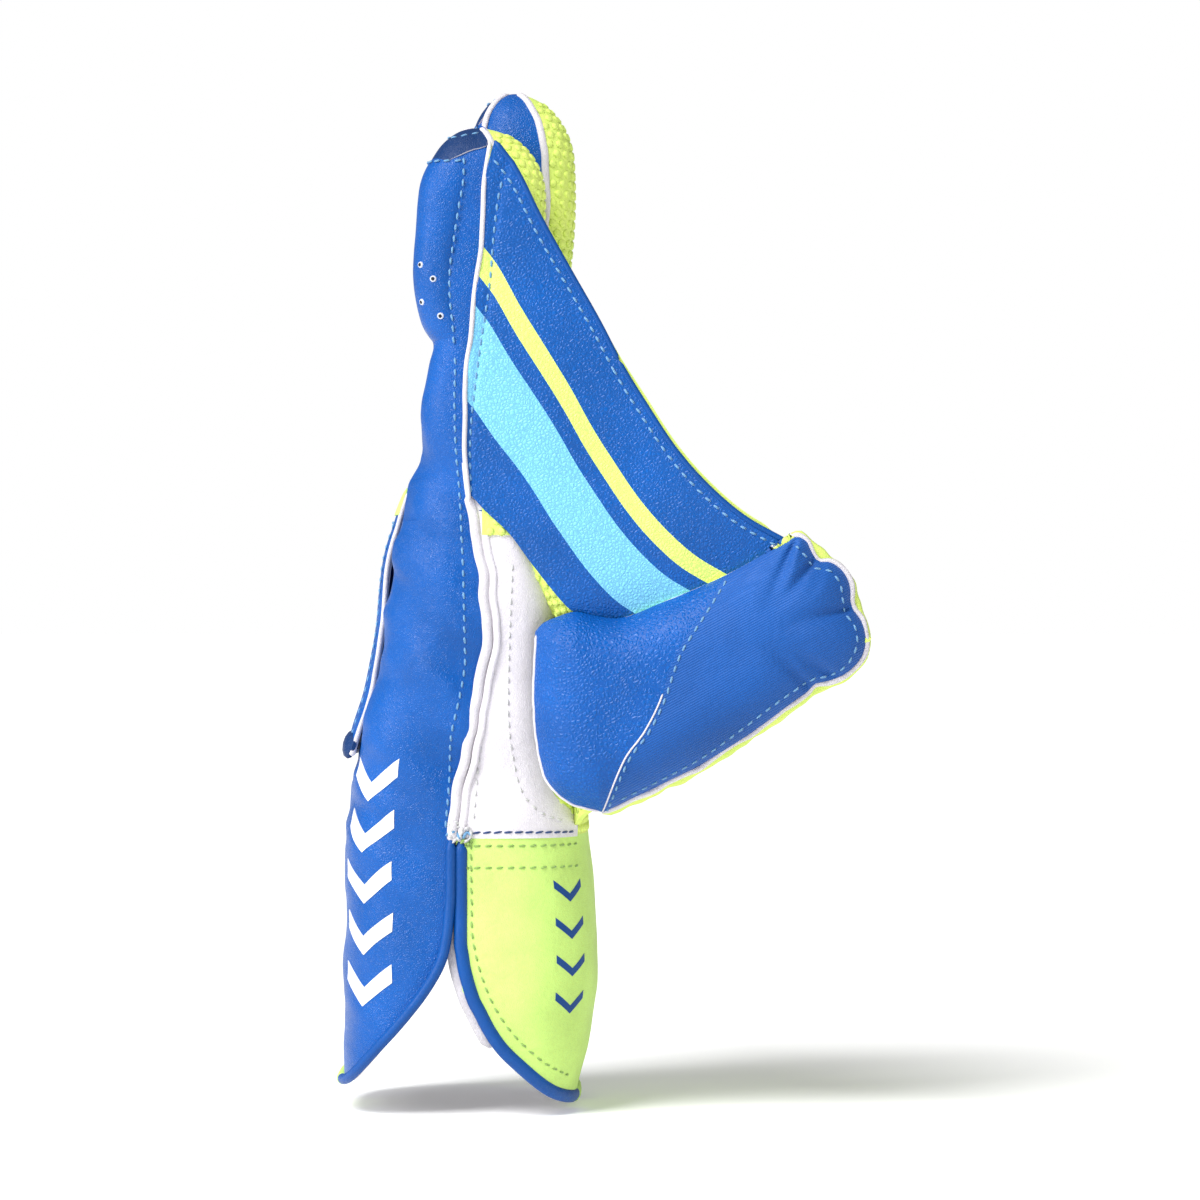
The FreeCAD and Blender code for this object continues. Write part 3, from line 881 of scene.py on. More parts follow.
def make_materials():
    """Every finish of the glove, by name."""
    colours = bpy.context.scene.glove_colours
    grain_group()
    tone_group()
    rib_group()
    made = {}
    # The second colour of each leather() below is the painted shade that its grain hollows are darkened
    # towards.
    blue, hollow_shade, lime, white = colours.blue, colours.hollow_shade_blue, colours.lime, colours.white
    made["blue_leather"] = leather("blue_leather", blue, hollow_shade, 1400.0, 0.00013, rough=(0.28, 0.46))
    made["pebble_leather"] = leather("pebble_leather", blue, hollow_shade, 760.0, 0.00024, rough=(0.34, 0.5))
    # The web's grain hollows take a near-black painted shade.
    made["web_leather"] = leather(
        "web_leather", blue, (0.0, 0.02, 0.10, 1.0), 850.0, 0.00020, rough=(0.34, 0.5), base=stripes,
        hollow_shade_share=0.30)
    made["ribbed_cloth"] = leather(
        "ribbed_cloth", scaled(blue, 0.95), hollow_shade, 420.0, 0.00013, rough=(0.5, 0.62), grain="rib_cloth",
        turn=math.radians(118), sheen=0.15)
    made["dark_leather"] = leather("dark_leather", scaled(blue, 0.34), scaled(hollow_shade, 0.4), 1500.0, 0.00010)
    made["binding"] = leather("binding", scaled(blue, 0.8), hollow_shade, 1800.0, 0.00006, rough=(0.4, 0.5))
    made["lime_rubber"] = leather(
        "lime_rubber", lime, scaled(lime, 0.75), 1300.0, 0.00008, rough=(0.55, 0.75))
    made["lime_leather"] = leather(
        "lime_leather", (0.60, 0.89, 0.22, 1.0), scaled(lime, 0.8), 1900.0, 0.00006, rough=(0.5, 0.65))
    made["white_leather"] = leather(
        "white_leather", white, scaled(white, 0.78), 1400.0, 0.00008, rough=(0.6, 0.75), sheen=0.1)
    made["raw_edge"] = leather(
        "raw_edge", scaled(white, 1.02), scaled(white, 0.62), 2600.0, 0.00018, rough=(0.75, 0.9), sheen=0.3)
    made["lining"] = leather(
        "lining", scaled(white, 0.86), scaled(white, 0.6), 2100.0, 0.00022, rough=(0.8, 0.95), sheen=0.4)
    made["blue_thread"] = thread("blue_thread", colours.thread)
    made["pale_thread"] = thread("pale_thread", (0.95, 0.95, 0.95, 1.0))
    made["lime_thread"] = thread("lime_thread", (0.40, 0.66, 0.14, 1.0))
    made["navy_thread"] = thread("navy_thread", (0.01, 0.06, 0.25, 1.0))
    made["print_white"] = leather(
        "print_white", (0.86, 0.86, 0.88, 1.0), (0.70, 0.72, 0.78, 1.0), 1500.0, 0.00005, rough=(0.38, 0.5))
    made["print_blue"] = leather(
        "print_blue", scaled(blue, 0.62), hollow_shade, 1900.0, 0.00005, rough=(0.4, 0.5))
    made["hole_rim"] = leather(
        "hole_rim", (0.72, 0.76, 0.86, 1.0), (0.5, 0.55, 0.7, 1.0), 2600.0, 0.00008)
    made["hole_shade"] = leather(
        "hole_shade", (0.004, 0.008, 0.02, 1.0), (0.0, 0.0, 0.0, 1.0), 2600.0, 0.00005)
    return made


def thread(name, colour):
    """Twisted sewing thread."""
    finish = Finish(name, 0.55, sheen=0.3)
    ply = finish.group("rib_cloth", 2400.0, math.radians(35))
    # Painted shade: the hollows between the plies are darkened to 0.6 of the thread's colour.
    finish.colour(finish.mixed(ply.outputs["Valley"], colour, scaled(colour, 0.6)))
    finish.bump(ply.outputs["Height"], 0.00012, 0.7)
    return finish.material


FINISHES = {}


def finish_of(name):
    return FINISHES[name]


# ------------------------------------------------------------------ the bodies a piece spans, and the zone between them
WRIST_BACK = ("hand", "cuff_back", (0, 0, 3), (0, 0, -22))
WRIST_PALM = ("hand", "cuff_palm", (0, 0, 1), (0, 0, -14))


def knuckle(name):
    return ("hand", name + "_finger", (0, 0, KNUCKLE - 10), (0, 0, KNUCKLE + 16))


GUARD_LOW = cad_box("guard_cover")[0].z
GUARD_HIGH = cad_box("guard_cover")[1].z
GUARD_HALF = cad_box("guard_cover")[1].y

# ------------------------------------------------------------------ back of the hand
# share across from the side edge to the lowest point, share of the petal's depth
BACK_EDGE = Table(((0.0, 0.24), (0.05, 0.43), (0.17, 0.56), (0.40, 0.71), (0.68, 0.86), (0.90, 0.97),
                   (1.0, 1.0)))
PALM_EDGE = Table(((0.0, 0.40), (0.12, 0.62), (0.28, 0.76), (0.50, 0.86), (0.76, 0.95), (1.0, 1.0)))
BACK_EDGE_X = -3.9
PALM_EDGE_X = -3.1


def petal_point(side, u, v, proud=0.0):
    """A point of a cuff petal: u runs across it from -1 to 1, v from the wrist to its free edge."""
    if side == "back":
        x = hand_point(u * hand_angle(BACK_EDGE_X, 0.0), 0.0).x
        share = (BACK_EDGE_X - x) / (BACK_EDGE_X + 40.0)
        z = CUFF_BACK_LOW * BACK_EDGE.at(share)[0] * v
        return hand_point(u * hand_angle(BACK_EDGE_X, z), z, proud)
    x = hand_point(math.pi - u * (math.pi - hand_angle(PALM_EDGE_X, 0.0)), 0.0).x
    share = (x - PALM_EDGE_X) / (38.8 - PALM_EDGE_X)
    z = CUFF_PALM_LOW * PALM_EDGE.at(share)[0] * v
    return hand_point(math.pi - u * (math.pi - hand_angle(PALM_EDGE_X, z)), z, proud)


def spread(u):
    """Packs the columns of a petal closer towards its side edges."""
    return math.sin(u * math.pi / 2)


def side_pad(y, z):
    """How far the leather stands up beside the back guard, so that the guard lies between two pads."""
    beside = ease((abs(y) - GUARD_HALF + 4) / 9) * ease((SIDE - 2 - abs(y)) / 15)
    return (PAD.at(z)[0] + 0.3 * ease(PAD.at(z)[0] / 2)) * beside


def knuckle_swell(z):
    """How far the padding lifts the leather over the knuckles."""
    return mix(0.0, mix(2.9, 1.0, ease((z - KNUCKLE - 1) / 18)), ease((z - RAY_START) / 16))


class GLOVE_OT_back(bpy.types.Operator):
    """Blue leather of the back of the hand, running on into the back petal of the cuff"""

    bl_idname = "glove.back"
    bl_label = "Back of the hand"

    def execute(self, context):
        sizes = context.scene.glove_sizes

        def place(u, v):
            wrist = 0.42
            if v < wrist:
                return petal_point("back", spread(2 * u - 1), 1 - v / wrist, 0.2)
            z = mix(0.0, RAY_START + 3.0, (v - wrist) / (1 - wrist))
            thumb_turn = hand_angle(SEAM.at(z)[0], z)
            side = 2 * u - 1
            at_wrist = spread(side) * hand_angle(BACK_EDGE_X, 0.0)
            own = spread(side) * thumb_turn
            angle = mix(at_wrist, own, ease(z / 12))
            y = hand_point(angle, z).y
            point = hand_point(angle, z, mix(0.2, 0.1, ease((z - RAY_START + 8) / 8)))
            point.x -= side_pad(y, z) + knuckle_swell(z)
            return point

        piece = patch("back_of_hand", 130, 170, place, size=(0.12, 0.18), folds=back_folds,
                      inside=(5, 0, 0))
        walled(piece, sizes.leather, rim=0)
        dress(piece, "blue_leather", finish_of("blue_leather"))
        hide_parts("back_leather", "back_padding", "cuff_back_panel", "cuff_back_padding")
        settle(piece, WRIST_BACK)
        return {"FINISHED"}


# ------------------------------------------------------------------ fingers
FACE_EDGE = 7.5
BACK_EDGE_IN = 13.0


def stall_seams(name, v):
    """Angles of the back seam and the face seam of a finger, on the thumb side."""
    z, size = stall_station(name, v)
    middle = stall_middle(name, z)
    back = middle - BACK_EDGE_IN * size
    if name == "index":
        back = mix(middle, SEAM.at(z)[0], min(size * 1.6, 1.0))
    return stall_angle(name, back, v), stall_angle(name, middle + FACE_EDGE * size, v)


def seam_table(name):
    rows = []
    for step in range(51):
        v = step / 50 * 0.99
        rows.append((v,) + tuple(stall_seams(name, v)))
    return Table(rows)


class Stall:
    """One finger's seams and the surfaces between them."""

    def __init__(self, name):
        self.name = name
        self.near = seam_table(name)
        self.far = seam_table("middle") if name == "index" else self.near
        self.core = (stall_middle(name, KNUCKLE + 60), MIDDLE_Y[name], None)
        self.body = knuckle(name)

    def back(self, u, v):
        point = stall_point(self.name, mix(-self.far.at(v)[0], self.near.at(v)[0], u), v, 0.1)
        size = stall_station(self.name, v)[1]
        crown = max(1 - (2 * u - 1) ** 2, 0.0) ** 0.6
        crown = mix(1.0, crown, ease((point.z - RAY_START - 2) / 12))
        point.x -= side_pad(point.y, point.z) + knuckle_swell(point.z) * crown * size
        return point

    def face(self, u, v):
        start = self.near.at(v)[1]
        return stall_point(self.name, mix(start, 2 * math.pi - start, u), v, 0.1)

    def wall(self, side):
        seams = self.near if side > 0 else self.far
        return lambda u, v: stall_point(self.name, side * mix(seams.at(v)[0], seams.at(v)[1], u), v)

    def line(self, side, seam):
        """The path of a seam over the surface of all angles."""
        table = self.near if side > 0 else self.far
        return lambda v: side * table.at(v)[seam] / (2 * math.pi)

    def round(self, u, v):
        return stall_point(self.name, 2 * math.pi * u, v)

    def roll(self, u, v):
        """The sausage pad: a plump cover between two stitched edges."""
        low = stall_share(self.name, ROLL_FOOT)
        high = stall_share(self.name, TIP[self.name] - ROLL_TOP)
        at = mix(low, high, v)
        near, far = (self.inner(side, at) for side in (1, -1))
        across, along = 2 * u - 1, 2 * v - 1
        crown = (1 - across ** 2) ** 0.72
        if along < -0.25:
            ends = (1 - ((-along - 0.25) / 0.75) ** 2.2) ** 0.9
        else:
            ends = (1 - 0.66 * ((along + 0.25) / 1.25) ** 1.2) * (1 - max(along, 0.0) ** 14) ** 0.5
        height = 4.2 * crown * ends
        point = stall_point(self.name, mix(-far, near, u), at, 0.12 + height)
        point.x -= crown
        return point

    def inner(self, side, v):
        """Angle of the pad's stitched edge, a little behind the back seam."""
        table = self.near if side > 0 else self.far
        z = stall_station(self.name, v)[0]
        seam = table.at(v)[0]
        if self.name == "index" and side > 0:
            return stall_angle(self.name, BACK_ROW.at(z)[0], v)
        return seam * 0.90

    def guard(self, u, v):
        """The half-moon cover of the moulded tip guard, over the end of the pad."""
        low = 6.5 + 6.5 * (1 - (2 * u - 1) ** 2)
        at = mix(stall_share(self.name, TIP[self.name] - low), 1.0, v)
        angle = mix(-self.far.at(at)[0], self.near.at(at)[0], u) * 0.97
        point = stall_point(self.name, angle, min(at, 0.999), 1.0)
        point.x -= 1.1 * (1 - (2 * u - 1) ** 2) ** 0.6 * stall_station(self.name, at)[1]
        return point


class GLOVE_OT_fingers(bpy.types.Operator):
    """Four finger stalls: leather back with its sausage pad, side walls, rubber face"""

    bl_idname = "glove.fingers"
    bl_label = "Fingers"

    def execute(self, context):
        for name in FINGERS:
            stall = Stall(name)
            self.leather(stall)
            self.rubber(stall)
            self.pad(stall)
            self.edges(stall)
        return {"FINISHED"}

    def leather(self, stall):
        sizes = bpy.context.scene.glove_sizes
        piece = patch(stall.name + "_finger_back", 48, 130, stall.back, size=(0.05, 0.13), folds=back_folds,
                      inside=stall.core)
        walled(piece, sizes.leather, rim=0)
        dress(piece, "blue_leather", finish_of("blue_leather"))
        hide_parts(stall.name + "_back", stall.name + "_lining")
        settle(piece, stall.body)
        for side, label in ((1, "_thumb_side"), (-1, "_little_side")):
            piece = patch(stall.name + label, 20, 110, stall.wall(side), size=(0.03, 0.13),
                          folds=0.8 * MM, inside=stall.core)
            walled(piece, sizes.leather, rim=0)
            dress(piece, "blue_leather", finish_of("blue_leather"))
            if side > 0:
                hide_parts(stall.name + "_sides")
            settle(piece, stall.body)

    def rubber(self, stall):
        sizes = bpy.context.scene.glove_sizes
        piece = patch(stall.name + "_finger_face", 40, 120, stall.face, size=(0.036, 0.13),
                      inside=stall.core)
        walled(piece, sizes.rubber, rim=0)
        dress(piece, "lime_rubber", finish_of("lime_rubber"))
        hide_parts(stall.name + "_face")
        settle(piece, stall.body)
        spots = pimple_rows(stall.face, 0.04, 0.93)
        pimples(stall.name + "_pimples", stall.face, spots, stall.core, stall.body)

    def pad(self, stall):
        piece = patch(stall.name + "_sausage_pad", 44, 70, stall.roll, size=(0.04, 0.06), folds=0.35 * MM,
                      inside=stall.core)
        walled(piece, 0.5 * MM, rim=0)
        dress(piece, "blue_leather", finish_of("blue_leather"))
        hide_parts(stall.name + "_roll")
        settle(piece, stall.body)
        piece = patch(stall.name + "_tip_guard", 40, 30, stall.guard, size=(0.04, 0.03), folds=back_folds,
                      inside=stall.core)
        walled(piece, 1.0 * MM)
        dress(piece, "blue_leather", finish_of("dark_leather"), finish_of("raw_edge"))
        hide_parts(stall.name + "_cup")
        settle(piece, stall.body)

    def edges(self, stall):
        """White cut edges of the leather and the rubber, and the pads' stitches."""
        steps = 120
        for side, label in ((1, "thumb"), (-1, "little")):
            for seam, kind in ((0, "back"), (1, "face")):
                if stall.name == "index" and side > 0 and seam == 0:
                    continue
                line = stall.line(side, seam)
                path = [(line(n / steps * 0.985), n / steps * 0.985) for n in range(8, steps + 1)]
                path = [(u % 1.0, v) for u, v in path]
                run = path_on(stall.round, path, stall.core, 0.1)
                edge = bead("%s_%s_edge_%s" % (stall.name, kind, label), run, 0.95 * MM, sides=8, flat=1.3,
                            wave=0.16, wave_length=7.0, seed=3.0 * seam + side)
                dress(edge, "white_leather", finish_of("raw_edge"))
                settle(edge, stall.body)
        rows = []
        for side in (1, -1):
            low = stall_share(stall.name, ROLL_FOOT)
            high = stall_share(stall.name, TIP[stall.name] - ROLL_TOP)
            path = []
            for n in range(60):
                v = mix(low, high, n / 59)
                path.append(((side * stall.inner(side, v) / (2 * math.pi)) % 1.0, v))
            rows.append(path_on(stall.round, path, stall.core, 0.55))
        moon = [(mix(0.06, 0.94, n / 40), 0.50) for n in range(41)]
        rows.append(path_on(stall.guard, moon, stall.core, 0.1))
        top = [(mix(0.04, 0.96, n / 40), 0.965) for n in range(41)]
        rows.append(path_on(stall.roll, top, stall.core, 0.25))
        sew(stall.name + "_pad_stitches", rows, stall.body, finish_of("blue_thread"))


# ------------------------------------------------------------------ palm and gusset
class GLOVE_OT_palm(bpy.types.Operator):
    """Rubber palm and the white gussets at both sides of the hand"""

    bl_idname = "glove.palm"
    bl_label = "Palm and gussets"

    def execute(self, context):
        sizes = context.scene.glove_sizes

        def palm(u, v):
            z = mix(-0.3, RAY_START + 3.0, v)
            near = hand_angle(PALM_START[1].at(z)[0], z)
            far = 2 * math.pi - hand_angle(PALM_START[-1].at(z)[0], z)
            return hand_point(mix(near, far, u), z, 0.2)

        def gusset(side):
            def place(u, v):
                z = mix(-0.6, RAY_START + 22.0, v)
                low = hand_angle(SEAM.at(max(z, 0.0))[0] - 0.5, z)
                high = hand_angle(PALM_START[side].at(z)[0] + 0.6, z)
                return hand_point(side * mix(low, high, u), z, 0.5)
            return place

        piece = patch("palm_face", 90, 100, palm, size=(0.11, 0.1), inside=(0, 0, 0))
        walled(piece, sizes.rubber)
        dress(piece, "lime_rubber", finish_of("lime_rubber"), finish_of("raw_edge"))
        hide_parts("palm_rubber", "palm_padding", "wrist_elastic")
        settle(piece, "hand")
        spots = pimple_rows(palm, 0.02, 0.99, samples=90)
        pimples("palm_pimples", palm, spots, (5, 0, None), "hand")
        for side, label in ((1, "thumb_gusset"), (-1, "side_gusset")):
            piece = patch(label + "_leather", 50, 110, gusset(side), size=(0.03, 0.12), folds=0.7 * MM,
                          inside=(0, 0, 0))
            walled(piece, sizes.leather)
            dress(piece, "white_leather", finish_of("white_leather"), finish_of("raw_edge"))
            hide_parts(label)
            settle(piece, "hand")
        return {"FINISHED"}


# ------------------------------------------------------------------ thumb
THUMB_TOP = Line(((22.4, 65.6), (24.6, 68.2), (29.0, 70.2), (35.0, 71.8), (42.0, 70.4), (49.7, 70.0),
                  (64.0, 75.5), (82.5, 83.5), (101.7, 94.2)))
THUMB_END = Line(((101.7, 94.2), (104.5, 96.2), (108.4, 94.8), (110.6, 90.6), (112.2, 88.5), (115.8, 88.2),
                  (120.0, 85.2), (122.4, 80.2), (122.6, 75.2), (123.8, 72.2), (126.2, 69.0), (127.5, 63.5),
                  (125.8, 57.2), (121.6, 52.4), (115.5, 49.8), (111.0, 48.9), (109.0, 46.6)))
THUMB_LOW = Line(((43.5, 8.0), (59.7, 15.4), (74.4, 22.7), (89.2, 32.3), (98.7, 39.0), (109.0, 46.6)))
THUMB_BASE = Line(((43.5, 8.0), (34.9, 10.0), (29.4, 13.4), (25.4, 18.3), (22.7, 28.2), (21.5, 45.6),
                   (22.4, 65.6)))
THUMB_SEAM = Line(((43.7, 8.4), (50.8, 25.7), (56.7, 33.8), (61.9, 44.1), (67.0, 58.8), (74.4, 70.6),
                   (82.5, 83.5)))


def outline_points(lines, count=24):
    found = []
    for line, flip in lines:
        for step in range(count):
            share = step / count
            found.append(line.at(1 - share if flip else share))
    return found


THUMB_OUTLINE = outline_points(
    ((THUMB_TOP, False), (THUMB_END, False), (THUMB_LOW, True), (THUMB_BASE, False)))


def edge_distance(x, z):
    """How far inside the thumb's outline a point lies."""
    place = Vector((x, z, 0))
    nearest = 1e9
    count = len(THUMB_OUTLINE)
    for number in range(count):
        a = THUMB_OUTLINE[number].to_3d()
        b = THUMB_OUTLINE[(number + 1) % count].to_3d()
        point, share = geometry.intersect_point_line(place, a, b)
        share = min(max(share, 0.0), 1.0)
        nearest = min(nearest, (place - a.lerp(b, share)).length)
    return nearest


def thumb_middle(x):
    """The plane that the thumb's outer and inner halves meet in."""
    return mix(-55.0, -61.0, ease((x - 30) / 80))


def pillow(x, z, bulge, reach=20.0):
    """Height of a stuffed panel above its outline."""
    share = min(edge_distance(x, z) / reach, 1.0)
    return bulge * (1 - (1 - share) ** 2.4) ** 0.72


GATHERS = ((111.2, 88.6), (122.6, 73.0), (118.6, 50.4), (109.0, 47.4), (103.5, 92.0))
GATHER_AIM = Vector((92.0, 66.0))


def gathers(x, z):
    """Creases that run inwards from the drawn-in notches of the thumb's tip."""
    depth = 0.0
    place = Vector((x, z))
    for notch in GATHERS:
        start = Vector(notch)
        way = (GATHER_AIM - start).normalized()
        along = (place - start).dot(way)
        off = abs((place - start).cross(way))
        if -4 < along < 24:
            depth += 2.2 * math.exp(-(off / (1.0 + 0.10 * max(along, 0))) ** 2) * (1 - max(along, 0) / 24)
    return depth


def thumb_back(x, z):
    bulge = 12.5 - 4.5 * ease((x - 50) / 70)
    return thumb_middle(x) - pillow(x, z, bulge) + gathers(x, z) * ease(edge_distance(x, z) / 3.0)


def thumb_face(x, z):
    bulge = 12.0 - 4.0 * ease((x - 50) / 70)
    return thumb_middle(x) + pillow(x, z, bulge)


def flat_patch(bottom, top, left, right, height):
    """A patch between four lines of the XZ plane, raised to a height field along Y."""
    surface = coons(bottom, top, left, right)

    def place(u, v):
        x, z = surface(u, v)
        return Vector((x, height(x, z), z))

    return place


THUMB_BEND = ("hand", "thumb", (27, 0, 38), (60, 0, 52))


def join_lines(first, second, share):
    """Two lines end to end as one function; the first takes this share."""
    def at(t):
        if t < share:
            return first(t / share)
        return second((t - share) / (1 - share))
    return at


class GLOVE_OT_thumb(bpy.types.Operator):
    """Thumb stall: pebbled base panel, ribbed tip panel and rubber face"""

    bl_idname = "glove.thumb"
    bl_label = "Thumb"

    def execute(self, context):
        sizes = context.scene.glove_sizes
        top_share = THUMB_TOP_SPLIT
        base = flat_patch(
            THUMB_BASE.part(0.0, 1.0), THUMB_SEAM.part(0.0, 1.0),
            lambda v: THUMB_SEAM.at(0.0), THUMB_TOP.part(0.0, top_share), thumb_back)
        low_side = join_lines(THUMB_LOW.part(0.0, 1.0), THUMB_END.part(1.0, THUMB_CORNER), 0.72)
        tip = flat_patch(
            low_side, join_lines(THUMB_SEAM.part(0.0, 1.0), THUMB_TOP.part(top_share, 1.0), 0.75),
            lambda v: THUMB_LOW.at(0.0), THUMB_END.part(THUMB_CORNER, 0.0), thumb_back)
        core = (70, 0, 50)
        piece = patch("thumb_base_leather", 70, 60, base, size=(0.08, 0.07), folds=0.5 * MM, inside=core)
        walled(piece, sizes.leather, rim=0)
        dress(piece, "blue_leather", finish_of("pebble_leather"), finish_of("raw_edge"))
        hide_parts("thumb_base_panel", "thumb_lining")
        settle(piece, THUMB_BEND)
        piece = patch("thumb_tip_cloth", 110, 90, tip, size=(0.09, 0.08), folds=0.4 * MM, inside=core)
        walled(piece, sizes.leather)
        dress(piece, "blue_ribbed_cloth", finish_of("ribbed_cloth"), finish_of("raw_edge"))
        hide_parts("thumb_tip_panel", "thumb_cup")
        settle(piece, THUMB_BEND)
        face = flat_patch(
            low_side, THUMB_TOP.part(0.35, 1.0),
            lambda v: THUMB_LOW.at(0.0).lerp(THUMB_TOP.at(0.35), v), THUMB_END.part(THUMB_CORNER, 0.0),
            thumb_face)
        piece = patch("thumb_rubber_face", 90, 70, face, size=(0.09, 0.08), inside=(70, -200, 50))
        mesh = piece.data
        if sum(polygon.normal.y for polygon in mesh.polygons) < 0:
            mesh.flip_normals()
        walled(piece, sizes.rubber)
        dress(piece, "lime_rubber", finish_of("lime_rubber"), finish_of("raw_edge"))
        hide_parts("thumb_face")
        settle(piece, THUMB_BEND)
        piece = patch("thumb_crotch", 30, 50, self.crotch, size=(0.03, 0.07), inside=(0, 0, 0))
        walled(piece, sizes.rubber, rim=0)
        dress(piece, "lime_rubber", finish_of("lime_rubber"))
        settle(piece, THUMB_BEND)
        spots = pimple_rows(self.crotch, 0.04, 0.97)
        pimples("thumb_crotch_pimples", self.crotch, spots, (0, 0, None), THUMB_BEND)
        return {"FINISHED"}

    def crotch(self, u, v):
        """The rubber that joins the palm to the thumb's face."""
        palm = hand_point(math.radians(mix(146, 112, ease((v - 0.55) / 0.45))), mix(3.0, 94.0, v), 0.3)
        x = mix(47.0, 50.0, v)
        z = mix(12.5, 68.5, v)
        thumb = Vector((x, thumb_face(x, z) + 0.3, z))
        point = palm.lerp(thumb, u)
        return point - Vector((2.4, 3.0, 0.0)) * math.sin(math.pi * u)


def share_at_x(line, x):
    low, high = 0.0, 1.0
    for step in range(40):
        middle = (low + high) / 2
        if line.at(middle).x < x:
            low = middle
        else:
            high = middle
    return low


THUMB_TOP_SPLIT = share_at_x(THUMB_TOP, 82.5)
THUMB_CORNER = max((n / 200 for n in range(201)), key=lambda share: THUMB_END.at(share).x)

# ------------------------------------------------------------------ web
WEB_FREE = Line(((9.5, 222.0), (16.0, 213.2), (23.7, 197.8), (33.0, 181.0), (42.3, 164.6), (50.0, 149.8),
                 (57.7, 137.2), (66.4, 124.0), (76.3, 112.5), (88.3, 102.1), (102.6, 94.0)))
WEB_INNER = Line(((0.2, 110.9), (6.7, 103.8), (13.9, 97.0), (21.5, 86.8), (32.5, 73.4), (39.0, 69.0)))
WEB_SEAM = Line(((0.2, 110.9), (-0.6, 125.0), (-0.3, 139.4), (1.8, 161.0), (4.2, 180.0), (5.4, 200.0),
                 (7.0, 213.0), (9.5, 222.0)))
WEB_CREASE = Line(((39.0, 69.0), (48.0, 67.0), (62.0, 72.0), (82.0, 81.0), (102.6, 94.0)))


def web_height(x, z):
    """The web's outside along Y: level with the finger at its seam, behind the thumb's roll."""
    finger = -SIDE - 1.6
    thumb = thumb_middle(x) - 1.0
    along = ease((x * 0.9 - (z - 75) * 0.43 + 62) / 130)
    return mix(finger, thumb, along)


WEB_SURFACE = coons(WEB_INNER.part(0, 1), WEB_FREE.part(0, 1), WEB_SEAM.part(0, 1), WEB_CREASE.part(0, 1))


WEB_ROW = 0.045


def web_point(inwards, along, raised=0.0):
    """Inwards runs from 0 at the lower edge to 1 at the free edge, along from finger to thumb."""
    x, z = WEB_SURFACE(along, inwards)
    roll = 2.6 * math.exp(-((1 - along) * 62 / 7.0) ** 2)
    belly = -2.0 * math.sin(math.pi * along) * math.sin(math.pi * inwards)
    groove = 0.5 * math.exp(-((along - WEB_ROW) / 0.012) ** 2)
    return Vector((x, web_height(x, z) + roll + belly + groove - raised, z))


WEB_INDEX_BEND = ("hand", "index_finger", (30, 0, 122), (6, 0, 150))
WEB_THUMB_BEND = ("hand", "thumb", (30, 0, 120), (62, 0, 84))


class GLOVE_OT_web(bpy.types.Operator):
    """The web: striped leather outside, rubber inside, in a finger half and a thumb half"""

    bl_idname = "glove.web"
    bl_label = "Web"

    def execute(self, context):
        halves = (
            ("index", 0.0, 0.5, WEB_INDEX_BEND),
            ("thumb", 0.5, 1.0, WEB_THUMB_BEND),
        )
        for name, low, high, bend in halves:
            def outside(u, v):
                return web_point(u, mix(low, high, v))

            def inner(u, v):
                along = mix(low, high, v)
                show = mix(0.5, 1.7, ease((along - 0.4) / 0.2)) * ease((0.985 - along) / 0.05)
                outwards = Vector((mix(0.84, 0.45, along), 0.0, mix(0.54, 0.89, along)))
                return web_point(mix(0.02, 1.0, u), along, -2.0) + outwards * show * ease((u - 0.95) / 0.05)

            piece = patch(name + "_web_outside", 90, 70, outside, size=(1.0, 1.0), folds=0.35 * MM)
            if sum(polygon.normal.y for polygon in piece.data.polygons) > 0:
                piece.data.flip_normals()
            walled(piece, 1.1 * MM, rim=0)
            dress(piece, "web_leather", finish_of("web_leather"))
            if name == "index":
                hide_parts("index_web_leather", "index_web_welt")
            else:
                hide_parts("thumb_web_leather")
            settle(piece, bend)
            path = [(0.997, n / 90) for n in range(91)]
            run = path_on(outside, path, (30, 0, None), -0.4)
            fold = bead(name + "_web_fold", run, 0.95 * MM, sides=10, flat=1.0)
            dress(fold, "blue_leather", finish_of("binding"))
            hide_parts(name + "_web_binding")
            settle(fold, bend)
            piece = patch(name + "_web_inside", 80, 60, inner, size=(0.1, 0.1))
            if sum(polygon.normal.y for polygon in piece.data.polygons) < 0:
                piece.data.flip_normals()
            walled(piece, 0.9 * MM, rim=0)
            dress(piece, "lime_rubber", finish_of("lime_rubber"))
            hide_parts(name + "_web_rubber")
            settle(piece, bend)
            spots = pimple_rows(inner, 0.03, 0.99, samples=60)
            pimples(name + "_web_pimples", inner, spots, (30, -300, None), bend, skip=behind_stall)

        def corner(u, v):
            x, z = mix(5.4, 17.0, u), mix(96.4, 106.0, v)
            return hand_point(hand_angle(x, z), z, 1.0)

        piece = patch("web_corner_rubber", 12, 12, corner, size=(0.012, 0.01), inside=(0, 0, 0))
        walled(piece, 1.0 * MM, rim=0)
        dress(piece, "lime_rubber", finish_of("lime_rubber"))
        settle(piece, "hand")
        spots = pimple_rows(corner, 0.12, 0.95, margin=(0.08, 0.95), samples=12)
        pimples("web_corner_pimples", corner, spots, (5, 0, None), "hand")
        return {"FINISHED"}


def behind_stall(point):
    """True where a finger or the thumb covers the web's inside."""
    return point.x < 18 and point.z > 110 or point.z < 84 and point.x > 40


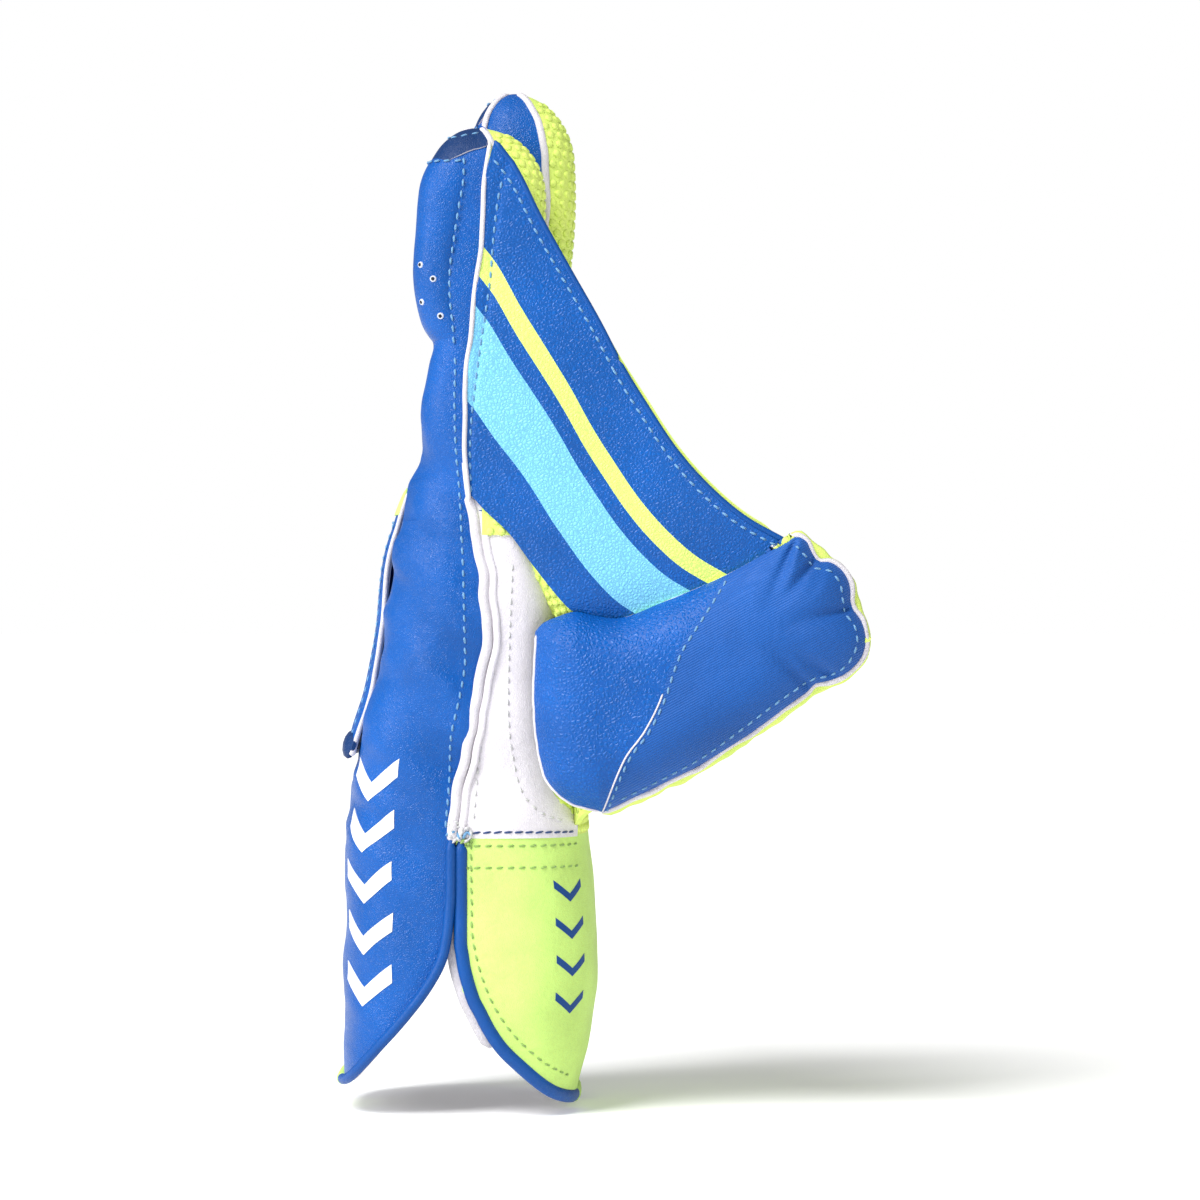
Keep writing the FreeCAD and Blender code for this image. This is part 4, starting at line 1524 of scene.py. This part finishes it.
# ------------------------------------------------------------------ cuff
class GLOVE_OT_cuff(bpy.types.Operator):
    """Palm petal of the cuff, the linings, the piping and the tape tags"""

    bl_idname = "glove.cuff"
    bl_label = "Cuff"

    def execute(self, context):
        sizes = context.scene.glove_sizes

        def palm(u, v):
            return petal_point("palm", spread(2 * u - 1), v, 0.3)

        piece = patch("palm_petal", 100, 70, palm, size=(0.11, 0.08), folds=0.5 * MM, inside=(0, 0, 0))
        walled(piece, sizes.leather)
        dress(piece, "lime_leather", finish_of("lime_leather"), finish_of("raw_edge"))
        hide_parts("cuff_palm_panel", "cuff_palm_padding")
        settle(piece, WRIST_PALM)
        for side, bend in (("back", WRIST_BACK), ("palm", WRIST_PALM)):
            def lining(u, v):
                deep = -2.0 - 2.4 * ease((1 - v) / 0.12) * ease((1 - abs(2 * u - 1)) / 0.12)
                return petal_point(side, spread(2 * u - 1) * 0.995, max(mix(-0.1, 0.995, v), 0.0), deep)

            piece = patch(side + "_petal_lining", 90, 60, lining, size=(0.11, 0.08), folds=0.5 * MM,
                          inside=(0, 0, 0))
            piece.data.flip_normals()
            walled(piece, 1.0 * MM, rim=0)
            dress(piece, "towelling", finish_of("lining"))
            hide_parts("cuff_%s_lining" % side)
            settle(piece, bend)
            run = petal_rim(side, PIPING_BAND[side] - 0.8, PIPING_SUNK[side])
            tag_half = 1.5 * cad_box("cuff_%s_tag" % side)[1].y * MM
            tag = [pair for pair in run if pair[0].z < -0.06 and abs(pair[0].y) < tag_half]
            band = PIPING_BAND[side] * MM
            radius = sizes.piping * 0.72
            piping = bead(side + "_petal_piping", run, radius, sides=14, flat=band / radius)
            dress(piping, "blue_piping", finish_of("binding"))
            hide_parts("cuff_%s_piping" % side)
            settle(piping, bend)
            radius += 0.3 * MM
            label = bead(side + "_petal_tag", tag, radius, sides=14, flat=(band + 0.3 * MM) / radius)
            dress(label, "lime_tape", finish_of("lime_leather"))
            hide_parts("cuff_%s_tag" % side)
            settle(label, bend)
        rim = petal_rim("palm", -1.2, 2.4)
        for label, hand_side in (("thumb", -1), ("little", 1)):
            run = [pair for pair in rim if pair[0].y * hand_side > 0 and -0.068 < pair[0].z < -0.020]
            roll = bead("palm_lining_roll_" + label, run, 1.5 * MM, sides=12, flat=1.5)
            dress(roll, "towelling", finish_of("lining"))
            settle(roll, WRIST_PALM)
        self.prints()
        return {"FINISHED"}

    def prints(self):
        """Plain chevrons printed on both petals, at the thumb side and the little-finger side."""
        for hand_side, label in ((1, "thumb"), (-1, "little")):
            for number in range(5):
                chevron("back_print_%s_%d" % (label, number + 1), (hand_side * 24, hand_side * 66),
                        14.0 - 16.5 * number, 8.0, 6.0, "print_white", WRIST_BACK)
            for number in range(4):
                chevron("palm_print_%s_%d" % (label, number + 1), (hand_side * 122, hand_side * 146),
                        -20.0 - 12.0 * number, 4.5, 2.6, "print_blue", WRIST_PALM)


def chevron(name, turns, height, drop, thick, finish, body):
    """A flat V printed on the cuff between two angles of the hand, its point down."""
    def place(u, v):
        z = height + drop * abs(2 * u - 1) + thick * (v - 0.5)
        return hand_point(math.radians(mix(turns[0], turns[1], u)), z, 0.4)

    folds = back_folds if finish == "print_white" else 0.5 * MM
    piece = patch(name, 24, 6, place, size=(0.02, 0.01), folds=folds, inside=(0, 0, 0))
    walled(piece, 0.25 * MM, rim=0)
    dress(piece, "blue_leather" if finish == "print_white" else "lime_leather", finish_of(finish))
    settle(piece, body)


# half the width of the folded piping
PIPING_BAND = {"back": 1.7, "palm": 2.2}
PIPING_SUNK = {"back": -0.8, "palm": 0.0}


def petal_rim(side, inwards, deep):
    """Points and outward normals along a petal's free edge, shifted towards its middle and sunk."""
    steps = 60
    path = [(0.0, n / steps) for n in range(steps)]
    path += [(0.5 - 0.5 * math.cos(math.pi * n / 260), 1.0) for n in range(261)]
    path += [(1.0, 1 - n / steps) for n in range(1, steps + 1)]

    def flat(u, v):
        return petal_point(side, 2 * u - 1, v)

    core = (5.0, 0.0, None)
    points = [flat(u, v) for u, v in path]
    run = []
    for number, (u, v) in enumerate(path):
        normal = normal_at(flat, min(max(u, 0.003), 0.997), v, core)
        along = points[min(number + 3, len(path) - 1)] - points[max(number - 3, 0)]
        aside = normal.cross(along).normalized()
        middle = flat(mix(u, 0.5, 0.15), v * 0.9)
        if aside.dot(middle - points[number]) < 0:
            aside = -aside
        run.append(((points[number] + aside * inwards - normal * deep) * MM, normal))
    return smoothed(run, 3)


# ------------------------------------------------------------------ lining and guard
class GLOVE_OT_inside(bpy.types.Operator):
    """Lining of the hand, seen through the cuff"""

    bl_idname = "glove.inside"
    bl_label = "Lining"

    def execute(self, context):
        def place(u, v):
            return hand_point(2 * math.pi * u, mix(-4.0, RAY_START - 4.0, v), -6.0)

        piece = patch("hand_lining_cloth", 90, 60, place, size=(0.27, 0.13), folds=0.5 * MM,
                      inside=(0, 0, 0))
        piece.data.flip_normals()
        walled(piece, 0.9 * MM, rim=0)
        dress(piece, "towelling", finish_of("lining"))
        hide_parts("hand_lining")
        settle(piece, "hand")
        return {"FINISHED"}


class GLOVE_OT_guard(bpy.types.Operator):
    """Loose padded shield over the back of the hand"""

    bl_idname = "glove.guard"
    bl_label = "Back guard"

    def place(self, u, v, raised=0.0):
        """The shield's outside: flat at its rim, plump inside it, its loose end lifted."""
        z = mix(GUARD_LOW, GUARD_HIGH, v)
        back, palm, half = HAND.at(z)
        y = mix(GUARD_HALF, -GUARD_HALF, u)
        edge = (1 - abs(y / half) ** (2 / HAND_ROUND)) ** (HAND_ROUND / 2)
        x = (back + palm) / 2 - (palm - back) / 2 * edge
        puff = max(1 - abs(2 * u - 1) ** 5, 0.0) ** 0.5 * max(1 - abs(2 * v - 1) ** 7, 0.0) ** 0.5
        lift = 2.6 * max((50 - z) / 24, 0.0) ** 1.6
        lie = PAD.at(z)[0] + knuckle_swell(z)
        return Vector((x - 1.0 - lie - 1.5 * puff - lift - raised, y, z))

    def execute(self, context):
        piece = patch("guard_shield", 60, 90, self.place, size=(0.056, 0.086), folds=0.4 * MM,
                      inside=(20, 0, 0))
        walled(piece, 1.7 * MM)
        dress(piece, "blue_leather", finish_of("blue_leather"), finish_of("raw_edge"))
        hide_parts("guard_cover", "guard_foam")
        settle(piece, "back_guard")
        rim = [(0.0, 1 - n / 60) for n in range(61)] + [(n / 30, 0.0) for n in range(1, 30)]
        rim += [(1.0, n / 60) for n in range(61)]
        run = path_on(self.place, rim, (20, 0, None), -0.7)
        edge = bead("guard_white_rim", run, 1.0 * MM, sides=8, flat=0.8, wave=0.1)
        dress(edge, "white_leather", finish_of("raw_edge"))
        settle(edge, "back_guard")
        across = [(mix(-0.01, 1.01, n / 50), 0.03) for n in range(51)]
        hem = path_on(self.place, across, (20, 0, None), -0.3)
        fold = bead("guard_hem", hem, 2.0 * MM, sides=12, flat=2.2)
        dress(fold, "blue_leather", finish_of("dark_leather"))
        settle(fold, "back_guard")

        def tape(u, v):
            return self.place(u, mix(0.90, 1.0, v), 0.5)

        piece = patch("guard_tape", 40, 8, tape, size=(0.056, 0.01), inside=(20, 0, 0))
        walled(piece, 0.6 * MM, rim=0)
        dress(piece, "lime_tape", finish_of("lime_leather"))
        settle(piece, "back_guard")
        row = path_on(self.place, [(mix(0.06, 0.94, n / 40), 0.87) for n in range(41)], (20, 0, None), 0.1)
        sides = [path_on(self.place, [(u, mix(0.08, 0.86, n / 40)) for n in range(41)], (20, 0, None), 0.1)
                 for u in (0.07, 0.93)]
        sew("guard_stitches", [row] + sides, "back_guard", finish_of("blue_thread"))
        return {"FINISHED"}


# ------------------------------------------------------------------ seams, edges and thread
def shape(*names):
    return surface_of([bpy.data.objects[name] for name in names])


class GLOVE_OT_seams(bpy.types.Operator):
    """Raw white edges along the seams, the stitches along the web's welt and most other rows of stitches,
    thread ends and vents
    """

    bl_idname = "glove.seams"
    bl_label = "Seams and thread"

    def execute(self, context):
        back = shape("back_of_hand", "index_finger_back", "index_sausage_pad")
        low_seam = Line([(SEAM.at(z)[0] + 0.4, z) for z in range(-2, int(KNUCKLE) - 20, 4)])
        fold_seam = Line([(SEAM.at(z)[0] + 0.4, z) for z in range(-2, int(KNUCKLE) - 26, 4)])
        finger = range(int(KNUCKLE) - 24, int(TIP["index"]) + 1, 5)
        high_seam = Line([(SEAM.at(z)[0] + 0.4, z) for z in finger])
        trees = shape("back_of_hand", "index_finger_back", "thumb_gusset_leather", "index_thumb_side",
                      "index_web_outside")
        low_run, fold_run, high_run = (
            smoothed(dropped(trees, seam, "side", 0.7), 6, outermost=True)
            for seam in (low_seam, fold_seam, high_seam))
        runs = (
            ("side_seam_edge", low_run, "hand", 0.85, 1.9, 0.45, 0.0, 1.0),
            ("side_seam_fold", fold_run, "hand", 0.6, 2.0, 0.4, -3.1, 1.0),
            ("index_seam_edge", high_run, knuckle("index"), 0.78, 1.0, 0.14, 0.0, 2.0),
        )
        for label, run, body, radius, flat, wave, shift, seed in runs:
            edge = bead(label, run, radius * MM, sides=10, flat=flat, wave=wave, shift=shift, seed=seed)
            dress(edge, "white_leather", finish_of("white_leather" if shift else "raw_edge"))
            settle(edge, body)
        row_low = Line([(BACK_ROW.at(z)[0], z) for z in range(4, int(KNUCKLE) - 20, 4)])
        row_high = Line([(BACK_ROW.at(z)[0], z) for z in range(int(KNUCKLE) - 22, int(KNUCKLE) + 26, 4)])
        blue = finish_of("blue_thread")
        sew("back_stitches", [dropped(back, row_low, "side", 1.0)], "hand", blue)
        sew("index_back_stitches", [dropped(back, row_high, "side", 1.0)], knuckle("index"), blue)
        self.web_thread()
        self.thumb_thread()
        self.cuff_thread()
        self.gusset_thread()
        self.knot()
        self.vents()
        return {"FINISHED"}

    def knot(self):
        """Tangled thread ends where the side seam meets the cuff."""
        tree = shape("back_of_hand", "thumb_gusset_leather", "palm_petal")
        ends = (
            ("pale_thread", ((-6.0, 3.5), (-3.5, 5.0), (-1.0, 2.0), (-3.0, -1.0), (-5.5, 1.0), (-2.0, 3.6))),
            ("pale_thread", ((-4.5, -2.0), (-2.0, 0.5), (0.8, 3.0), (1.6, 0.0), (-1.0, -1.6), (-3.4, 0.4))),
            ("blue_thread", ((-6.5, 0.5), (-3.5, 1.6), (-1.4, -0.8), (0.4, 1.4), (2.4, 0.2))),
            ("lime_thread", ((-2.4, -3.2), (-0.4, -1.0), (1.2, -2.6), (2.0, -0.6))),
        )
        for number, (finish, points) in enumerate(ends):
            run = dropped(tree, Line(points), "side", 0.3)
            run = [(place + normal * (0.5 + 0.5 * math.sin(n * 0.7 + number)) * MM, normal)
                   for n, (place, normal) in enumerate(run)]
            strand = bead("seam_knot_%d" % (number + 1), run, 0.5 * MM, sides=6)
            dress(strand, "white_leather", finish_of(finish))
            settle(strand, "hand")

    def vents(self):
        """Rimmed air holes in the lower end of the outer fingers' pads; a near-black plug in each rim is
        painted shade in place of the opening.
        """
        for name, towards in (("index", "side"), ("little", "little")):
            tree = shape(name + "_sausage_pad", name + "_finger_back")
            base = TIP[name] - ROLL_TOP
            rims = bmesh.new()
            hole_shade_plugs = bmesh.new()
            for back, down in ((-14.3, 0.0), (-10.2, 4.6), (-13.9, 11.8), (-7.9, 16.4)):
                x = back + (stall_middle(name, base) - stall_middle("index", base))
                z = ROLL_FOOT + (182.5 - 158.5) - down
                for place, normal in dropped(tree, Line(((x, z), (x, z + 0.01))), towards, 1.0)[:1]:
                    turn = Vector((0, 0, 1)).rotation_difference(normal).to_matrix().to_4x4()
                    turn.translation = place + normal * 0.1 * MM
                    bmesh.ops.create_cone(rims, cap_ends=True, segments=14, radius1=1.15 * MM,
                                          radius2=0.85 * MM, depth=0.5 * MM, matrix=turn)
                    # Painted shade: a near-black plug stands for the dark inside of the hole.
                    turn.translation = place + normal * 0.16 * MM
                    bmesh.ops.create_cone(hole_shade_plugs, cap_ends=True, segments=10, radius1=0.6 * MM,
                                          radius2=0.6 * MM, depth=0.5 * MM, matrix=turn)
            for mesh, label, finish in ((rims, "_vent_rims", "hole_rim"), (hole_shade_plugs, "_vent_hole_shade", "hole_shade")):
                piece = new_object(name + label, mesh)
                dress(piece, "blue_leather", finish_of(finish))
                settle(piece, knuckle(name))

    def web_thread(self):
        blue = finish_of("blue_thread")
        for name, low, high, bend in (("index", 0.0, 0.5, WEB_INDEX_BEND), ("thumb", 0.5, 1.0, WEB_THUMB_BEND)):
            tree = shape(name + "_web_outside")
            free = Line([web_point(0.955, mix(max(low, 0.02), min(high, 0.985), n / 14)).xz for n in range(15)])
            runs = [dropped(tree, free, "side", 1.0)]
            if name == "index":
                seam = Line([web_point(mix(0.02, 0.95, n / 14), WEB_ROW).xz for n in range(15)])
                runs.append(dropped(tree, seam, "side", 1.0))
            sew(name + "_web_stitches", runs, bend, blue)

    def thumb_thread(self):
        blue = finish_of("blue_thread")
        tree = shape("thumb_base_leather", "thumb_tip_cloth")
        seam = Line([THUMB_SEAM.at(n / 12) + Vector((1.2, -0.4)) for n in range(13)])
        inner = []
        centre = Vector((85.0, 60.0))
        for line, flip in ((THUMB_LOW, False), (THUMB_END, True)):
            for n in range(1, 14):
                point = line.at(1 - n / 14 if flip else n / 14)
                inner.append(point + (centre - point).normalized() * 3.4)
        around = Line(inner)
        sew("thumb_stitches", [dropped(tree, seam, "side", 1.0), dropped(tree, around, "side", 1.0)],
            THUMB_BEND, blue)
        edge_line = Line(outline_points(((THUMB_LOW, False), (THUMB_END, True)), 34) + [THUMB_END.at(0.02)])
        run = []
        for number in range(241):
            x, z = edge_line.at(number / 240)
            run.append((Vector((x, thumb_middle(x), z)) * MM, Vector((0, -1, 0))))
        edge = bead("thumb_raw_edge", run, 1.1 * MM, sides=8, flat=0.9, wave=0.3, wave_length=6.0, seed=2.0)
        dress(edge, "white_leather", finish_of("raw_edge"))
        settle(edge, THUMB_BEND)
        run = [(place + Vector((0, 1.8, 0)) * MM, normal) for place, normal in smoothed(run, 12)]
        rim = bead("thumb_rubber_rim", run, 1.2 * MM, sides=8, flat=1.7, wave=0.35, wave_length=5.0, seed=5.0)
        dress(rim, "lime_rubber", finish_of("lime_rubber"))
        settle(rim, THUMB_BEND)
        run = dropped(tree, Line([THUMB_BASE.at(0.02 + 0.96 * n / 14) + Vector((0.4, 0.4)) for n in range(15)]),
                      "side", 1.0)
        edge = bead("thumb_base_edge", run, 0.55 * MM, sides=8, flat=0.9, wave=0.25, wave_length=4.0)
        dress(edge, "white_leather", finish_of("raw_edge"))
        settle(edge, THUMB_BEND)
        run = dropped(tree, Line([THUMB_SEAM.at(n / 28) for n in range(15)]), "side", 1.0)
        edge = bead("thumb_seam_edge", run, 0.3 * MM, sides=6)
        dress(edge, "white_leather", finish_of("raw_edge"))
        settle(edge, THUMB_BEND)

    def cuff_thread(self):
        lime = finish_of("lime_thread")
        tree = shape("palm_petal")
        rows = [
            Line([(x, -3.0) for x in range(0, 37, 3)]),
            Line([(x, -10.0) for x in range(0, 39, 3)]),
            Line([(1.6, -3.0), (1.8, -20.0), (2.4, -34.0), (7.0, -50.0), (14.0, -62.0), (24.0, -72.0),
                  (33.0, -78.0)]),
        ]
        runs = [dropped(tree, row, towards, 1.0) for row in rows for towards in ("side", "little")]
        sew("palm_petal_stitches", runs, WRIST_PALM, lime)

    def gusset_thread(self):
        tree = shape("thumb_gusset_leather")
        pale = finish_of("pale_thread")
        rows = [
            Line([(15.0, 86.0), (14.0, 62.0), (13.6, 40.0), (14.6, 28.0), (18.0, 14.0), (24.0, 7.5),
                  (31.0, 4.5)]),
            Line([(9.0, 60.0), (6.6, 40.0), (4.2, 24.0), (2.4, 5.0)]),
        ]
        sew("gusset_stitches", [dropped(tree, row, "side", 1.0) for row in rows], "hand", pale)
        row = Line([(0.0, 1.2), (12.0, 1.4), (24.0, 1.3), (35.0, 1.0)])
        sew("gusset_hem_stitches", [dropped(tree, row, "side", 1.0)], "hand", finish_of("navy_thread"),
            length=3.2 * MM, gap=0.2 * MM)


# ------------------------------------------------------------------ stage
class GLOVE_OT_stage(bpy.types.Operator):
    """Pale floor and backdrop, soft lights and the camera"""

    bl_idname = "glove.stage"
    bl_label = "Stage"

    def execute(self, context):
        mesh = bmesh.new()
        bmesh.ops.create_grid(mesh, x_segments=4, y_segments=4, size=20.0)
        for vertex in mesh.verts:
            vertex.co.z = cad_low.z - 1.5 * MM
        floor = new_object("floor", mesh)
        finish = Finish("pale_floor", 0.9)
        finish.shader.inputs["Base Color"].default_value = (0.93, 0.93, 0.93, 1.0)
        finish.shader.inputs["Emission Color"].default_value = (1.0, 1.0, 1.0, 1.0)
        finish.shader.inputs["Emission Strength"].default_value = 0.2
        floor.data.materials.append(finish.material)
        world = bpy.data.worlds.new("studio")
        world.use_nodes = True
        tree = world.node_tree
        soft = tree.nodes["Background"]
        soft.inputs["Color"].default_value = (1.0, 1.0, 1.0, 1.0)
        soft.inputs["Strength"].default_value = 0.28
        plain = node(tree, "Background")
        plain.inputs["Strength"].default_value = 1.0
        plain.inputs["Color"].default_value = (1.0, 1.0, 1.0, 1.0)
        path = node(tree, "LightPath")
        choice = node(tree, "MixShader")
        tree.links.new(path.outputs["Is Camera Ray"], choice.inputs[0])
        tree.links.new(soft.outputs[0], choice.inputs[1])
        tree.links.new(plain.outputs[0], choice.inputs[2])
        tree.links.new(choice.outputs[0], tree.nodes["World Output"].inputs["Surface"])
        context.scene.world = world
        middle = Vector((0.043, -0.03, 0.076))
        sun = bpy.data.lights.new("key", "SUN")
        sun.energy = 3.3
        sun.angle = math.radians(28)
        lamps = [(sun, (-0.55, -0.75, 1.15))]
        for name, place, size, watts in (
                ("left", (-1.2, -0.7, 0.5), 0.5, 10.0),
                ("fill", (1.1, -1.0, 0.2), 1.0, 2.0)):
            light = bpy.data.lights.new(name, "AREA")
            light.size = size
            light.energy = watts
            lamps.append((light, place))
        for light, place in lamps:
            lamp = bpy.data.objects.new(light.name, light)
            lamp.location = Vector(place)
            lamp.rotation_mode = "QUATERNION"
            lamp.rotation_quaternion = (middle - Vector(place)).to_track_quat("-Z", "Y")
            context.scene.collection.objects.link(lamp)
        camera = bpy.data.cameras.new("camera")
        camera.lens = 135
        camera.sensor_width = 36
        holder = bpy.data.objects.new("camera", camera)
        plane_y = -0.055
        distance = 0.3816 * camera.lens / camera.sensor_width
        holder.location = (0.0429, plane_y - distance, 0.0757)
        holder.rotation_euler = (math.pi / 2, 0.0, 0.0)
        context.scene.collection.objects.link(holder)
        context.scene.camera = holder
        context.scene.view_settings.view_transform = "Standard"
        return {"FINISHED"}


class GLOVE_PT_panel(bpy.types.Panel):
    """Lists the glove's sizes, colours and pieces"""

    bl_label = "Glove"
    bl_idname = "GLOVE_PT_panel"
    bl_space_type = "VIEW_3D"
    bl_region_type = "UI"
    bl_category = "Glove"

    def draw(self, context):
        for group in (context.scene.glove_sizes, context.scene.glove_colours):
            for name in group.bl_rna.properties.keys():
                if name not in ("rna_type", "name"):
                    self.layout.prop(group, name)
        for operator in OPERATORS:
            self.layout.operator(operator.bl_idname)


OPERATORS = (
    GLOVE_OT_stage, GLOVE_OT_back, GLOVE_OT_fingers, GLOVE_OT_palm, GLOVE_OT_thumb, GLOVE_OT_web,
    GLOVE_OT_cuff, GLOVE_OT_inside, GLOVE_OT_guard, GLOVE_OT_seams,
)
CLASSES = (GloveSizes, GloveColours) + OPERATORS + (GLOVE_PT_panel,)


def register():
    for item in CLASSES:
        bpy.utils.register_class(item)
    bpy.types.Scene.glove_sizes = bpy.props.PointerProperty(type=GloveSizes)
    bpy.types.Scene.glove_colours = bpy.props.PointerProperty(type=GloveColours)


def unregister():
    del bpy.types.Scene.glove_colours
    del bpy.types.Scene.glove_sizes
    for item in reversed(CLASSES):
        bpy.utils.unregister_class(item)


def main():
    register()
    FINISHES.update(make_materials())
    for operator in OPERATORS:
        group, name = operator.bl_idname.split(".")
        getattr(getattr(bpy.ops, group), name)()


if __name__ == "__main__":
    main()
